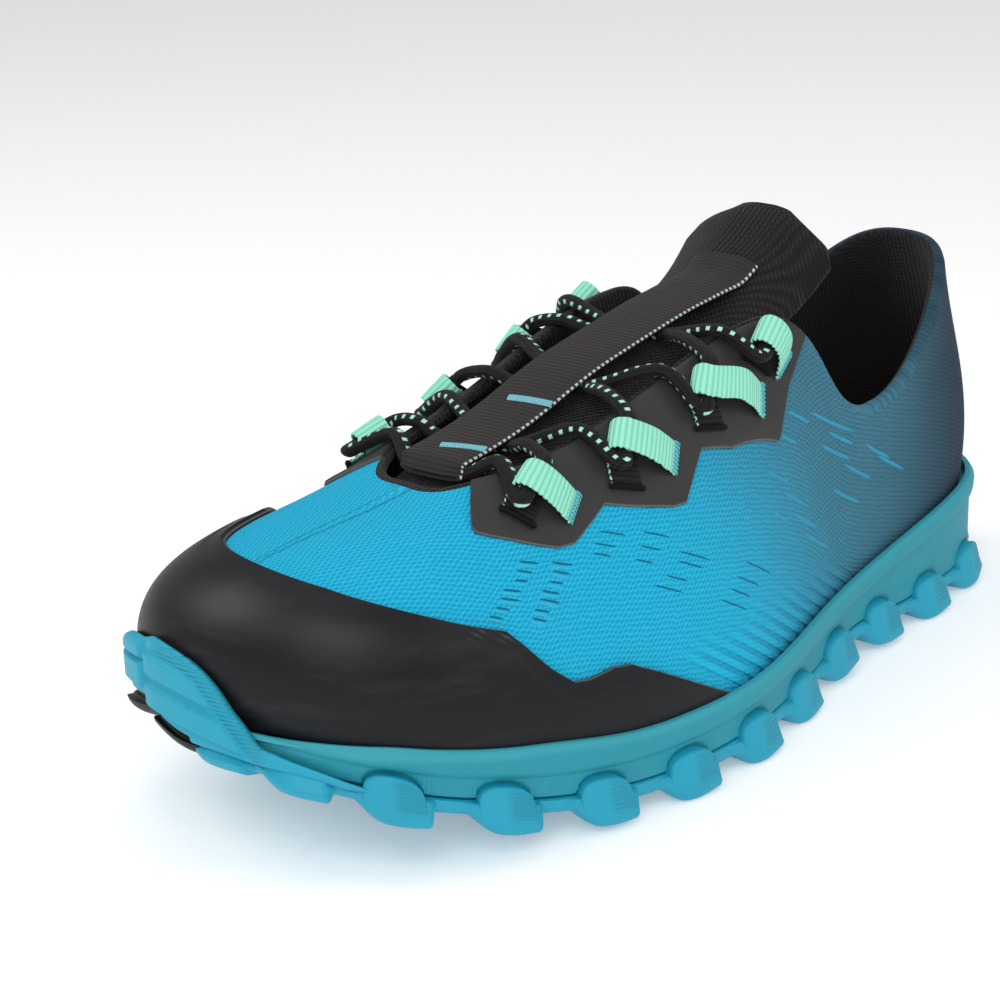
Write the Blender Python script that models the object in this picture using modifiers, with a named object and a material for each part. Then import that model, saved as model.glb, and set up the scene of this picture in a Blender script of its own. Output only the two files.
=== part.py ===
"""Left hiking shoe, standing empty on its lugged sole.

Sizes are in millimetres until a mesh is made. In the last's own frame +X points to the toe, +Y to the
outer (lateral) side and +Z up from the floor. A root empty then centres the shoe over the origin.

Places on the upper have two coordinates. "around" runs once round the shoe in degrees: 0 at the heel,
90 at the lateral waist, 180 at the toe and 270 at the medial waist. "up" runs from 0 at the sole to 1 at
the opening.
"""
import math
from collections import namedtuple

import bmesh
import bpy
import numpy as np

MM = 0.001
NAME = "hiking_shoe"
BOX_CENTRE = (-4.0, 1.9)

# Clearances between neighbouring pieces
GAP = 0.3
OVERLAY_LIFT = 0.5

# Sole
LUG_DEPTH = 5.5
PLATE = 2.0
TOE_SPRING = 22.6
SPRING_START = 35.5
HEEL_BEVEL = 4.0
BEVEL_START = -108.0
ARCH_RAISE = 2.0
ARCH_FROM, ARCH_TO = -82.0, -24.0
DISH_DEPTH = 3.0
INSOLE_THICK = 4.0
INSOLE_INSET = 6.6
LUG_PITCH = 25.3
FIRST_LUG = 9.6
SIDE_LUGS = 11
TOE_LUGS = (281.0, 299.0)
TOE_LUG_WIDTH = 0.62
TAB_INSET = 0.2
TREAD_TAPER = 0.85
BUMPER_COLUMNS = 29
BUMPER_ROOT = 3.0
BUMPER_SINK = 0.6
BUMPER_FOOT = 1.5
BUMPER_FOOT_SHARE = 0.8
BUMPER_THINNING = 0.45
BUMPER_CLEARANCE = 0.4

# Upper, overlays and tongue
FEATHER_INSET = 3.1
FEATHER_DROP = DISH_DEPTH - GAP
WALL = 2.0
COLLAR_PAD = 2.2
PAD_FROM, PAD_FULL = 0.45, 0.85
RAND_THICK = 1.1
RAND_OVER_RIM = 0.9
EYESTAY_THICK = 0.7
TONGUE_THICK = 3.0
TONGUE_Y = 1.0
TONGUE_BEND = 2.2
STRIP_HALF = 10.0
STRIP_THICK = 1.2
STRIP_LIFT = 4.9

# Lace and loops
LACE_RADIUS = 1.7
LACE_FLOAT = 0.95
LACE_SWING = 3.0
BAR_SWING = 0.8
BAND_THICK = 0.9
BAND_HALF = 4.2
WALL_RUN = 60.0
LEG_RISE = 4.2
FOLD_ROUND = 0.72
LACE_BESIDE = 0.8
LACE_OVER = 1.04
LACE_BOW = 0.022
BAR_X = 54.0
SEAT = OVERLAY_LIFT + EYESTAY_THICK + GAP
LACE_LIFT = SEAT + BAND_THICK + 2 * GAP + LACE_RADIUS
FOLD_RADIUS = LACE_RADIUS + 2.6 * GAP + BAND_THICK / 2
BAND_TOP = LACE_LIFT + FOLD_RADIUS

# Sampling
AROUND = 72
UP = 9
RAND_STEP, RAND_ROWS = 5.0, 6
EYESTAY_STEP, EYESTAY_ROWS = 4.0, 5
TONGUE_ROWS, TONGUE_COLUMNS = 14, 9
STRIP_ROWS = 16
SLOPE_STEP = 1e-4
SHARP_ANGLE = 35.0

# One row for each section of the last, heel to toe: the sole edge, the height of the midsole rim, the rim
# of the opening on both sides, and how the wall leaves the sole (lean, rise) and meets the opening (slope,
# reach).
Section = namedtuple("Section", "edge_x edge_lateral edge_medial rim_z top_x top_lateral top_medial top_z "
                                "lean rise slope reach")
LAST = (
    Section(-136.0, 0.0, 0.0, 31.0, -125.0, 0.0, 0.0, 95.0, 10.0, 28.0, 84.0, 25.0),
    Section(-121.0, 24.0, -23.5, 30.5, -113.0, 20.0, -19.0, 89.0, 8.0, 26.0, 84.0, 23.0),
    Section(-92.0, 31.5, -31.0, 27.5, -86.0, 30.0, -28.5, 71.0, 5.0, 20.0, 86.0, 18.0),
    Section(-42.0, 39.0, -32.5, 21.5, -54.0, 31.0, -28.0, 71.0, 0.0, 18.0, 76.0, 17.0),
    Section(5.0, 52.5, -39.0, 19.8, -30.0, 25.0, -22.5, 95.0, 0.0, 22.0, 50.0, 23.0),
    Section(42.0, 53.0, -47.0, 19.5, 19.0, 21.5, -19.5, 83.5, 3.0, 22.5, 40.0, 23.0),
    Section(80.0, 44.0, -50.0, 19.0, 50.0, 18.0, -16.5, 77.0, 8.0, 25.0, 30.0, 21.0),
    Section(108.0, 30.0, -43.5, 18.5, 62.5, 11.0, -11.0, 74.5, 15.0, 32.0, 20.0, 25.0),
    Section(126.5, -10.0, -10.0, 18.0, 65.5, 0.0, 0.0, 74.0, 17.0, 36.0, 18.0, 29.0),
)

# Side of the midsole from the plate up over the lip to the dish: how far it stands out from the sole edge,
# and its height from the plate (base 0) or from the rim (base 1).
SideRow = namedtuple("SideRow", "out base height")
MIDSOLE_SIDE = (
    SideRow(-2.2, 0, GAP),
    SideRow(-0.9, 0, GAP + 1.6),
    SideRow(-0.6, 1, -5.8),
    SideRow(0.8, 1, -5.0),
    SideRow(1.0, 1, -1.4),
    SideRow(0.0, 1, 0.0),
    SideRow(-1.5, 1, 0.0),
    SideRow(-1.6, 1, -DISH_DEPTH),
)

# Edge of the rubber plate, top to bottom
PLATE_SIDE = (
    SideRow(-2.4, 0, 0.0),
    SideRow(-0.4, 0, -0.5),
    SideRow(-0.4, 0, -PLATE + 0.4),
    SideRow(-1.6, 0, -PLATE),
)

# One side lug in three stations along the edge, heel side to toe side: place along the edge, reach outwards
# at the floor and at the top of its tab, and the tab's height.
LugRow = namedtuple("LugRow", "along out_low out_high tab")
SIDE_LUG = (
    LugRow(-6.8, 2.6, 1.7, 11.6),
    LugRow(2.4, 3.2, 2.2, 11.6),
    LugRow(8.4, 1.4, 1.0, 8.8),
)
LUG_INWARD = 14.0
LUG_TAPER = 0.55

# Ground lugs in rows across the sole: place along the shoe, how many stand side by side, their size and
# their turn
TreadRow = namedtuple("TreadRow", "x count along across turn")
TREAD = (
    TreadRow(-112.0, 2, 11.0, 8.0, 24.0),
    TreadRow(-92.0, 2, 12.0, 11.0, 24.0),
    TreadRow(-68.0, 2, 11.0, 12.0, 24.0),
    TreadRow(-43.0, 1, 11.0, 16.0, 0.0),
    TreadRow(-19.0, 2, 11.0, 14.0, -24.0),
    TreadRow(5.0, 2, 12.0, 16.0, -24.0),
    TreadRow(29.0, 3, 12.0, 14.0, -24.0),
    TreadRow(53.0, 3, 12.0, 13.0, -24.0),
    TreadRow(77.0, 2, 12.0, 15.0, -24.0),
    TreadRow(98.0, 1, 11.0, 18.0, 0.0),
)

# Toe bumper: top edge as a height above the midsole rim, and its thickness
BumperRow = namedtuple("BumperRow", "around above_rim thick")
BUMPER = (
    BumperRow(159.5, -8.6, 1.6),
    BumperRow(165.0, -5.4, 2.6),
    BumperRow(167.0, -2.0, 3.2),
    BumperRow(169.0, 1.1, 3.4),
    BumperRow(171.0, 4.8, 3.4),
    BumperRow(173.5, 7.9, 3.4),
    BumperRow(177.0, 10.3, 3.4),
    BumperRow(182.0, 12.0, 3.4),
    BumperRow(189.0, 13.0, 3.4),
    BumperRow(197.0, 12.4, 3.4),
    BumperRow(204.0, 9.6, 3.4),
    BumperRow(210.0, 5.2, 3.4),
    BumperRow(216.0, -1.0, 3.4),
    BumperRow(222.0, -5.4, 3.2),
    BumperRow(229.0, -8.6, 1.6),
)

# Upper edge of the toe rand; it runs out into the midsole at both ends
EdgeRow = namedtuple("EdgeRow", "around up")
RAND_EDGE = (
    EdgeRow(99.5, 0.09),
    EdgeRow(105.5, 0.135),
    EdgeRow(110.5, 0.21),
    EdgeRow(114.0, 0.26),
    EdgeRow(116.0, 0.262),
    EdgeRow(119.5, 0.243),
    EdgeRow(121.5, 0.243),
    EdgeRow(124.5, 0.29),
    EdgeRow(128.5, 0.37),
    EdgeRow(131.0, 0.41),
    EdgeRow(136.0, 0.422),
    EdgeRow(149.0, 0.46),
    EdgeRow(161.0, 0.49),
    EdgeRow(177.0, 0.51),
    EdgeRow(193.0, 0.527),
    EdgeRow(207.0, 0.50),
    EdgeRow(222.0, 0.44),
    EdgeRow(231.0, 0.41),
    EdgeRow(239.0, 0.25),
    EdgeRow(246.0, 0.262),
    EdgeRow(260.5, 0.09),
)

# Stepped lower edge of an eyestay, collar end to throat end, given for the lateral side
EYESTAY_EDGE = (
    EdgeRow(86.5, 0.97),
    EdgeRow(88.5, 0.833),
    EdgeRow(89.5, 0.775),
    EdgeRow(90.5, 0.63),
    EdgeRow(98.3, 0.65),
    EdgeRow(102.2, 0.695),
    EdgeRow(104.5, 0.59),
    EdgeRow(106.0, 0.60),
    EdgeRow(114.5, 0.725),
    EdgeRow(119.5, 0.647),
    EdgeRow(122.0, 0.647),
    EdgeRow(137.5, 0.748),
    EdgeRow(138.5, 0.77),
    EdgeRow(141.3, 0.94),
    EdgeRow(142.0, 0.975),
)
EYESTAY_TOP = 0.985

# Webbing loops beside the throat, toe to collar, given for the lateral side: the fold that holds the lace,
# the end of the leg that lies on top and the end of the leg that comes out underneath.
LoopRow = namedtuple("LoopRow", "fold_around fold_up over_around over_up under_around under_up")
LOOPS = (
    LoopRow(127.3, 0.87, 119.4, 0.75, 129.4, 0.77),
    LoopRow(111.8, 0.87, 105.7, 0.72, 111.6, 0.735),
    LoopRow(102.4, 0.86, 94.6, 0.74, 101.3, 0.735),
    LoopRow(95.0, 0.915, 91.4, 0.83, 95.4, 0.84),
)

# Middle line of the tongue, toe end to top: place, height, half width, how far its edges drop and how much
# it rises to the lateral side
TongueRow = namedtuple("TongueRow", "x z half drop tilt")
TONGUE = (
    TongueRow(80.0, 64.5, 13.0, 2.0, 0.0),
    TongueRow(64.0, 70.2, 14.5, 1.8, 0.03),
    TongueRow(50.0, 73.0, 17.8, 2.2, 0.04),
    TongueRow(20.0, 80.6, 20.4, 2.3, 0.04),
    TongueRow(-30.0, 93.8, 22.0, 6.0, 0.03),
    TongueRow(-50.0, 104.5, 22.5, 8.0, 0.0),
    TongueRow(-62.0, 114.0, 24.0, 8.0, 0.0),
)

# Webbing strip over the lace, toe end to top: place and height over the tongue
StripRow = namedtuple("StripRow", "x lift")
STRIP = (
    StripRow(62.0, STRIP_LIFT + 0.5),
    StripRow(57.5, STRIP_LIFT + 0.3),
    StripRow(46.0, STRIP_LIFT),
    StripRow(-24.0, STRIP_LIFT),
    StripRow(-38.0, 3.0),
    StripRow(-46.0, 1.0),
)

# Colour, roughness
RUBBER = ((0.03, 0.40, 0.58, 1.0), 0.55)
FOAM = ((0.05, 0.48, 0.60, 1.0), 0.6)
KNIT = ((0.03, 0.37, 0.66, 1.0), 0.8)
FILM = ((0.02, 0.02, 0.021, 1.0), 0.4)
BLACK_MESH = ((0.012, 0.012, 0.013, 1.0), 0.9)
MINT = ((0.30, 0.79, 0.61, 1.0), 0.75)


def station(x):
    """Angle round the shoe, in radians on the lateral side, at a place along the shoe."""
    middle = (LAST[0].edge_x + LAST[-1].edge_x) / 2
    half = (LAST[-1].edge_x - LAST[0].edge_x) / 2
    return np.arccos(np.clip((middle - x) / half, -1.0, 1.0))


def ring_spline(knots, values, at):
    """Smooth closed curve (periodic cubic spline) through values at the angles in knots."""
    gap = np.diff(np.append(knots, knots[0] + 2 * math.pi))
    rise = (np.roll(values, -1) - values) / gap
    count = len(knots)
    row = np.arange(count)
    system = np.zeros((count, count))
    system[row, row] = 2 * (gap + np.roll(gap, 1))
    system[row, (row + 1) % count] = gap
    system[row, row - 1] = np.roll(gap, 1)
    bend = np.linalg.solve(system, 6 * (rise - np.roll(rise, 1)))
    at = np.mod(at, 2 * math.pi)
    k = np.clip(np.searchsorted(knots, at, "right") - 1, 0, count - 1)
    after = (k + 1) % count
    b = (at - knots[k]) / gap[k]
    a = 1 - b
    curve = (a**3 - a) * bend[k] + (b**3 - b) * bend[after]
    return a * values[k] + b * values[after] + curve * gap[k] ** 2 / 6


def last_column(name, at):
    """One column of the last's table, smooth all round, with each side's own column where it has two."""
    lateral = [getattr(row, name + "_lateral", None) for row in LAST]
    if lateral[0] is None:
        lateral = [getattr(row, name) for row in LAST]
        medial = lateral
    else:
        medial = [getattr(row, name + "_medial") for row in LAST]
    angles = [float(station(row.edge_x)) for row in LAST]
    knots = np.array(angles + [2 * math.pi - angle for angle in angles[-2:0:-1]])
    values = np.array(lateral + medial[-2:0:-1], float)
    return ring_spline(knots, values, at)


def open_spline(table, name, key, at):
    """Smooth curve through one column of a table along another, by cubic Hermite pieces."""
    places = np.array([getattr(row, key) for row in table], float)
    values = np.array([getattr(row, name) for row in table], float)
    order = np.argsort(places)
    places = places[order]
    values = values[order]
    slope = np.gradient(values, places)
    k = np.clip(np.searchsorted(places, at, "right") - 1, 0, len(places) - 2)
    h = places[k + 1] - places[k]
    t = np.clip((at - places[k]) / h, 0.0, 1.0)
    return ((1 + 2 * t) * (1 - t) ** 2 * values[k] + t * (1 - t) ** 2 * h * slope[k]
            + t**2 * (3 - 2 * t) * values[k + 1] + t**2 * (t - 1) * h * slope[k + 1])


def table_edge(table, around):
    """Straight-lined edge through the rows of an edge table."""
    return np.interp(around, [row.around for row in table], [row.up for row in table])


def toe_spring(x):
    """Lift of the sole towards the toe."""
    return TOE_SPRING * (np.clip(x - SPRING_START, 0, None) / (LAST[-1].edge_x - SPRING_START)) ** 2


def ground(x):
    """Height of the lugs' lower faces: flat under heel and ball, raised at toe, heel end and arch."""
    heel = HEEL_BEVEL * (np.clip(BEVEL_START - x, 0, None) / (BEVEL_START - LAST[0].edge_x)) ** 2
    arch = np.clip((x - ARCH_FROM) / (ARCH_TO - ARCH_FROM), 0, 1)
    return toe_spring(x) + heel + ARCH_RAISE * (0.5 - 0.5 * np.cos(2 * math.pi * arch))


def plate_top(x):
    """Upper face of the rubber plate."""
    return ground(x) + LUG_DEPTH + PLATE


def sole_edge(at, out=0.0):
    """Points of the sole's outline moved outwards, with the outward direction."""

    def raw(angle):
        middle = (LAST[0].edge_x + LAST[-1].edge_x) / 2
        half = (LAST[-1].edge_x - LAST[0].edge_x) / 2
        return np.stack([middle - half * np.cos(angle), last_column("edge", angle)], -1)

    along = raw(at + SLOPE_STEP) - raw(at - SLOPE_STEP)
    along /= np.linalg.norm(along, axis=-1, keepdims=True)
    outward = np.stack([-along[..., 1], along[..., 0]], -1)
    return raw(at) + np.asarray(out)[..., None] * outward, outward


def rim(at, x):
    """Height of the midsole's top edge."""
    return last_column("rim_z", at) + toe_spring(x)


def wall(at, up):
    """Upper's outer face: at each angle a cubic arc from the sole edge to the opening."""
    foot, outward = sole_edge(at, -FEATHER_INSET)
    outward = np.concatenate([outward, np.zeros_like(outward[..., :1])], -1)
    start = np.concatenate([foot, (rim(at, foot[..., 0]) - FEATHER_DROP)[..., None]], -1)
    end = np.stack([last_column("top_x", at), last_column("top", at), last_column("top_z", at)], -1)
    away = start - end
    away[..., 2] = 0.0
    away /= np.linalg.norm(away, axis=-1, keepdims=True)
    lean = np.radians(last_column("lean", at))[..., None]
    slope = np.radians(last_column("slope", at))[..., None]
    rise = last_column("rise", at)[..., None]
    reach = last_column("reach", at)[..., None]
    upward = np.array([0.0, 0.0, 1.0])
    leave = start + rise * (np.cos(lean) * upward + np.sin(lean) * outward)
    meet = end + reach * (np.cos(slope) * away - np.sin(slope) * upward)
    t = up[..., None]
    s = 1 - t
    return s**3 * start + 3 * s**2 * t * leave + 3 * s * t**2 * meet + t**3 * end


def on_upper(around, up, lift=0.0):
    """Points lifted off the upper's outer face, with the face's outward normal."""
    parts = [np.asarray(value, float) for value in (around, up, lift)]
    around, up, lift = np.broadcast_arrays(*parts)
    at = np.radians(around)
    across = wall(at + SLOPE_STEP, up) - wall(at - SLOPE_STEP, up)
    upward = wall(at, up + SLOPE_STEP) - wall(at, up - SLOPE_STEP)
    normal = np.cross(upward, across)
    normal /= np.linalg.norm(normal, axis=-1, keepdims=True)
    return wall(at, up) + lift[..., None] * normal, normal


def up_at_height(around, height):
    """How far up the wall a height is reached, for each angle."""
    levels = np.linspace(0.0, 0.4, 81)
    z = on_upper(np.asarray(around)[:, None], levels[None, :])[0][..., 2]
    return np.array([np.interp(h, row, levels) for h, row in zip(height, z)])


def tongue_top(x, y):
    """Height of the tongue's upper face."""
    share = np.abs((y - TONGUE_Y) / open_spline(TONGUE, "half", "x", x))
    middle = open_spline(TONGUE, "z", "x", x) + open_spline(TONGUE, "tilt", "x", x) * (y - TONGUE_Y)
    return middle - open_spline(TONGUE, "drop", "x", x) * share**TONGUE_BEND


def smooth_path(points, steps):
    """Rounded path through a few points, with some steps in each span."""
    points = np.asarray(points, float)
    before = np.vstack([2 * points[0] - points[1], points[:-2], points[-2:-1]])[:len(points) - 1]
    after = np.vstack([points[2:], 2 * points[-1] - points[-2]])
    t = np.linspace(0, 1, steps, endpoint=False)[None, :, None]
    a, b, c, d = before[:, None], points[:-1, None], points[1:, None], after[:, None]
    square = 2 * a - 5 * b + 4 * c - d
    cube = 3 * b - a - 3 * c + d
    curve = b + 0.5 * ((c - a) * t + square * t**2 + cube * t**3)
    return np.vstack([curve.reshape(-1, points.shape[1]), points[-1:]])


def grid_faces(rows, columns, closed=False):
    """Quads of a grid of points, row by row; closed joins its last column to its first."""
    count = columns if closed else columns - 1
    return [(r * columns + c, r * columns + (c + 1) % columns,
             (r + 1) * columns + (c + 1) % columns, (r + 1) * columns + c)
            for r in range(rows - 1) for c in range(count)]


def across_faces(start, count):
    """Closes a ring round the shoe with strips that run straight across it."""
    half = count // 2
    faces = [(start, start + 1, start + count - 1), (start + half - 1, start + half, start + half + 1)]
    for i in range(1, half - 1):
        faces.append((start + i, start + i + 1, start + count - i - 1, start + count - i))
    return faces


def tube_faces(sections, sides):
    """Faces of a closed profile carried through several sections, with both ends closed."""
    faces = grid_faces(sections, sides, closed=True)
    last = (sections - 1) * sides
    return faces + [tuple(range(sides)), tuple(last + i for i in range(sides))]


def principled(name, finish):
    """Plain material of one colour."""
    colour, roughness = finish
    material = bpy.data.materials.new(name)
    material.use_nodes = True
    shader = material.node_tree.nodes["Principled BSDF"]
    shader.inputs["Base Color"].default_value = colour
    shader.inputs["Roughness"].default_value = roughness
    shader.inputs["Metallic"].default_value = 0.0
    return material


def new_object(name, points, faces, collection, closed=True):
    """Mesh object from points in millimetres; a closed one gets its faces turned outwards."""
    mesh = bpy.data.meshes.new(name)
    mesh.from_pydata((np.asarray(points, float).reshape(-1, 3) * MM).tolist(), [], faces)
    if closed:
        shape = bmesh.new()
        shape.from_mesh(mesh)
        bmesh.ops.recalc_face_normals(shape, faces=shape.faces)
        shape.to_mesh(mesh)
        shape.free()
    mesh.shade_smooth()
    mesh.set_sharp_from_angle(angle=math.radians(SHARP_ANGLE))
    obj = bpy.data.objects.new(name, mesh)
    collection.objects.link(obj)
    return obj


def add_part(name, points, faces, finish, closed=True):
    """One sub-part under the root empty, with its material."""
    obj = new_object(name, points, faces, bpy.data.collections[NAME], closed)
    obj.parent = bpy.data.objects["root"]
    obj.data.materials.append(principled(name, finish))
    return obj


def thicken(obj, thick):
    """Gives an open sheet a wall on the side its faces point to; a minus sign puts it on the other side."""
    solid = obj.modifiers.new("wall", "SOLIDIFY")
    solid.thickness = abs(thick) * MM
    solid.offset = math.copysign(1.0, thick)
    return solid


def cutter(name, points, faces):
    """Helper solid that is joined to a sub-part."""
    obj = new_object(name, points, faces, bpy.data.collections["helpers"])
    obj.parent = bpy.data.objects["root"]
    obj.hide_render = True
    obj.display_type = "WIRE"
    return obj


def join_to(obj, other):
    """Fuses a helper solid with a sub-part."""
    union = obj.modifiers.new(other.name, "BOOLEAN")
    union.operation = "UNION"
    union.solver = "EXACT"
    union.object = other


def side_rings(table, rim_based):
    """Rings round the sole, one for each row of a side table."""
    at = np.linspace(0, 2 * math.pi, AROUND, endpoint=False)
    rings = []
    for row in table:
        edge, _ = sole_edge(at, row.out)
        base = rim(at, edge[:, 0]) if rim_based and row.base else plate_top(edge[:, 0])
        rings.append(np.column_stack([edge, base + row.height]))
    return rings


def build_midsole():
    """Foam wedge with a stepped side, a lip and a dish for upper and insole."""
    rings = side_rings(MIDSOLE_SIDE, True)
    faces = grid_faces(len(rings), AROUND, closed=True)
    faces += across_faces(0, AROUND)
    faces += across_faces((len(rings) - 1) * AROUND, AROUND)
    return add_part("midsole", np.vstack(rings), faces, FOAM)


def build_insole():
    """Foot bed that fills the dish between the upper's walls."""
    at = np.linspace(0, 2 * math.pi, AROUND, endpoint=False)
    edge, _ = sole_edge(at, -INSOLE_INSET)
    low = np.column_stack([edge, rim(at, edge[:, 0]) - DISH_DEPTH + GAP])
    high = low + np.array([0.0, 0.0, INSOLE_THICK])
    faces = grid_faces(2, AROUND, closed=True) + across_faces(0, AROUND) + across_faces(AROUND, AROUND)
    return add_part("insole", np.vstack([low, high]), faces, BLACK_MESH)


def side_lug(at, toeward, width):
    """One lug that wraps up the sole's side, lofted through its three stations along the edge."""
    edge, outward = sole_edge(np.array([at]))
    edge, outward = edge[0], outward[0]
    along = toeward * np.array([outward[1], -outward[0]])
    profile_in = PLATE / 2 + LUG_DEPTH
    points = []
    for row in SIDE_LUG:
        profile = (
            (-LUG_INWARD, 0.0), (row.out_low, 0.0), (row.out_high, row.tab), (-TAB_INSET, row.tab),
            (-TAB_INSET, profile_in), (-LUG_INWARD, profile_in),
        )
        for out, height in profile:
            taper = LUG_TAPER if out == -LUG_INWARD else 1.0
            spot = edge + outward * out + along * row.along * taper * width
            points.append((*spot, height + float(ground(spot[0]))))
    return np.array(points), tube_faces(len(SIDE_LUG), len(profile))


def tread_lug(x, y, row, turn):
    """One ground lug: a turned block that tapers towards the floor."""
    lean = math.radians(turn)
    along = np.array([math.cos(lean), math.sin(lean)])
    across = np.array([-along[1], along[0]])
    points = []
    for height, scale in ((0.0, TREAD_TAPER), (LUG_DEPTH + PLATE / 2, 1.0)):
        for a, b in ((-1, -1), (1, -1), (1, 1), (-1, 1)):
            spot = np.array([x, y]) + (a * row.along * along + b * row.across * across) * scale / 2
            points.append((*spot, height + float(ground(spot[0]))))
    return np.array(points), tube_faces(2, 4)


def lug_angles():
    """Angles of the side lugs with the direction to the toe and their width, spaced along the outline."""
    at = np.linspace(0, 2 * math.pi, 1441)
    edge, _ = sole_edge(at)
    length = np.append(0.0, np.cumsum(np.linalg.norm(np.diff(edge, axis=0), axis=1)))
    for k in range(SIDE_LUGS + len(TOE_LUGS)):
        toe = k - SIDE_LUGS
        run = FIRST_LUG + k * LUG_PITCH if toe < 0 else TOE_LUGS[toe]
        width = 1.0 if toe < 0 else TOE_LUG_WIDTH
        yield float(np.interp(run, length, at)), 1, width
        yield float(np.interp(length[-1] - run, length, at)), -1, width


def build_outsole():
    """Rubber plate with side lugs, ground lugs and toe bumper fused on."""
    rings = side_rings(PLATE_SIDE, False)
    faces = grid_faces(len(rings), AROUND, closed=True)
    faces += across_faces(0, AROUND) + across_faces((len(rings) - 1) * AROUND, AROUND)
    outsole = add_part("outsole", np.vstack(rings), faces, RUBBER)
    pieces = [side_lug(at, toeward, width) for at, toeward, width in lug_angles()]
    for row in TREAD:
        at = station(row.x)
        lateral = float(last_column("edge", at)) - LUG_INWARD
        medial = float(last_column("edge", 2 * math.pi - at)) + LUG_INWARD
        room = (lateral - medial) / row.count
        for k in range(row.count):
            y = medial + room * (k + 0.5)
            turn = row.turn * np.sign(y - (lateral + medial) / 2)
            pieces.append(tread_lug(row.x, y, row, turn))
    points = np.vstack([piece[0] for piece in pieces])
    starts = np.cumsum([0] + [len(piece[0]) for piece in pieces[:-1]])
    lug_faces = []
    for start, piece in zip(starts, pieces):
        lug_faces += [tuple(start + i for i in face) for face in piece[1]]
    join_to(outsole, cutter("lugs", points, lug_faces))
    join_to(outsole, build_bumper())
    return outsole


def build_bumper():
    """Toe bumper: a thick lip that stands clear of the midsole's side and the toe rand."""
    around = np.linspace(BUMPER[0].around, BUMPER[-1].around, BUMPER_COLUMNS)
    at = np.radians(around)
    above = np.interp(around, [row.around for row in BUMPER], [row.above_rim for row in BUMPER])
    thick = np.interp(around, [row.around for row in BUMPER], [row.thick for row in BUMPER])
    edge, outward = sole_edge(at)
    rim_z = rim(at, edge[:, 0])
    lip = max(row.out for row in MIDSOLE_SIDE) + GAP

    def on_plate(out, height):
        """A row of the profile at a height under the plate's upper face."""
        spot, _ = sole_edge(at, out)
        return out, plate_top(spot[:, 0]) + height

    buried = np.full_like(around, -BUMPER_ROOT)
    inner = [on_plate(buried, -BUMPER_FOOT), on_plate(buried, -BUMPER_SINK)]
    outer = [on_plate(lip + thick * BUMPER_FOOT_SHARE, -BUMPER_FOOT)]
    start = on_plate(np.full_like(around, lip), -BUMPER_SINK)[1]
    for share in (0.0, 0.5, 1.0):
        height = start + (rim_z + above - start) * share
        level = up_at_height(around, np.maximum(height, rim_z))
        face, _ = on_upper(around, level, OVERLAY_LIFT + RAND_THICK + BUMPER_CLEARANCE)
        clear = np.maximum(lip, np.einsum("ij,ij->i", face[:, :2] - edge, outward))
        inner.append((clear, height))
        outer.append((clear + thick * (1.0 - BUMPER_THINNING * share), height))
    profile = inner + outer[::-1]
    rows = [np.column_stack([edge + outward * out[:, None], z]) for out, z in profile]
    points = np.stack(rows, 1).reshape(-1, 3)
    return cutter("bumper", points, tube_faces(len(around), len(profile)))


def build_upper():
    """Hollow upper: the wall between sole edge and opening, padded towards the collar."""
    around = np.linspace(0, 360, AROUND, endpoint=False)
    up = np.linspace(0, 1, UP + 1)
    points, _ = on_upper(around[None, :], up[:, None])
    faces = [face[::-1] for face in grid_faces(UP + 1, AROUND, closed=True)]
    upper = add_part("upper", points, faces, KNIT, closed=False)
    solid = thicken(upper, -(WALL + COLLAR_PAD))
    collar = np.clip(2.5 * np.cos(np.radians(around)) - 0.25, 0, 1)
    pad = collar[None, :] * np.clip((up - PAD_FROM) / (PAD_FULL - PAD_FROM), 0, 1)[:, None]
    share = (WALL + COLLAR_PAD * pad.ravel()) / (WALL + COLLAR_PAD)
    group = upper.vertex_groups.new(name="wall")
    for index, weight in enumerate(share):
        group.add([index], float(weight), "REPLACE")
    solid.vertex_group = group.name
    return upper


def overlay(name, around, low, high, rows, thick, finish):
    """Panel that lies on the upper between two edges."""
    share = np.linspace(0, 1, rows)[:, None]
    up = low[None, :] * (1 - share) + high[None, :] * share
    points, _ = on_upper(around[None, :], up, OVERLAY_LIFT)
    faces = [face[::-1] for face in grid_faces(rows, len(around))]
    panel = add_part(name, points, faces, finish, closed=False)
    thicken(panel, thick)
    return panel


def with_knots(start, stop, step, table):
    """Angles at a steady step together with every corner of an edge table."""
    steady = np.arange(math.ceil(start / step) * step, stop, step)
    knots = np.array([row.around for row in table])
    steady = steady[np.abs(steady[:, None] - knots[None, :]).min(1) > 0.2 * step]
    return np.sort(np.append(steady, knots))


def build_toe_rand():
    """Smooth band round the toe, from just above the midsole to its shaped upper edge."""
    around = with_knots(RAND_EDGE[0].around, RAND_EDGE[-1].around, RAND_STEP, RAND_EDGE)
    at = np.radians(around)
    edge, _ = sole_edge(at)
    low = up_at_height(around, rim(at, edge[:, 0]) + RAND_OVER_RIM)
    return overlay("toe_rand", around, low, table_edge(RAND_EDGE, around), RAND_ROWS, RAND_THICK, FILM)


def build_eyestay(side):
    """Film panel beside the throat with its stepped lower edge."""
    around = with_knots(EYESTAY_EDGE[0].around, EYESTAY_EDGE[-1].around, EYESTAY_STEP, EYESTAY_EDGE)
    low = table_edge(EYESTAY_EDGE, around)
    high = np.full_like(low, EYESTAY_TOP)
    if side == "medial":
        around = 360.0 - around[::-1]
        low = low[::-1]
    return overlay("eyestay_" + side, around, low, high, EYESTAY_ROWS, EYESTAY_THICK, FILM)


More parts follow.
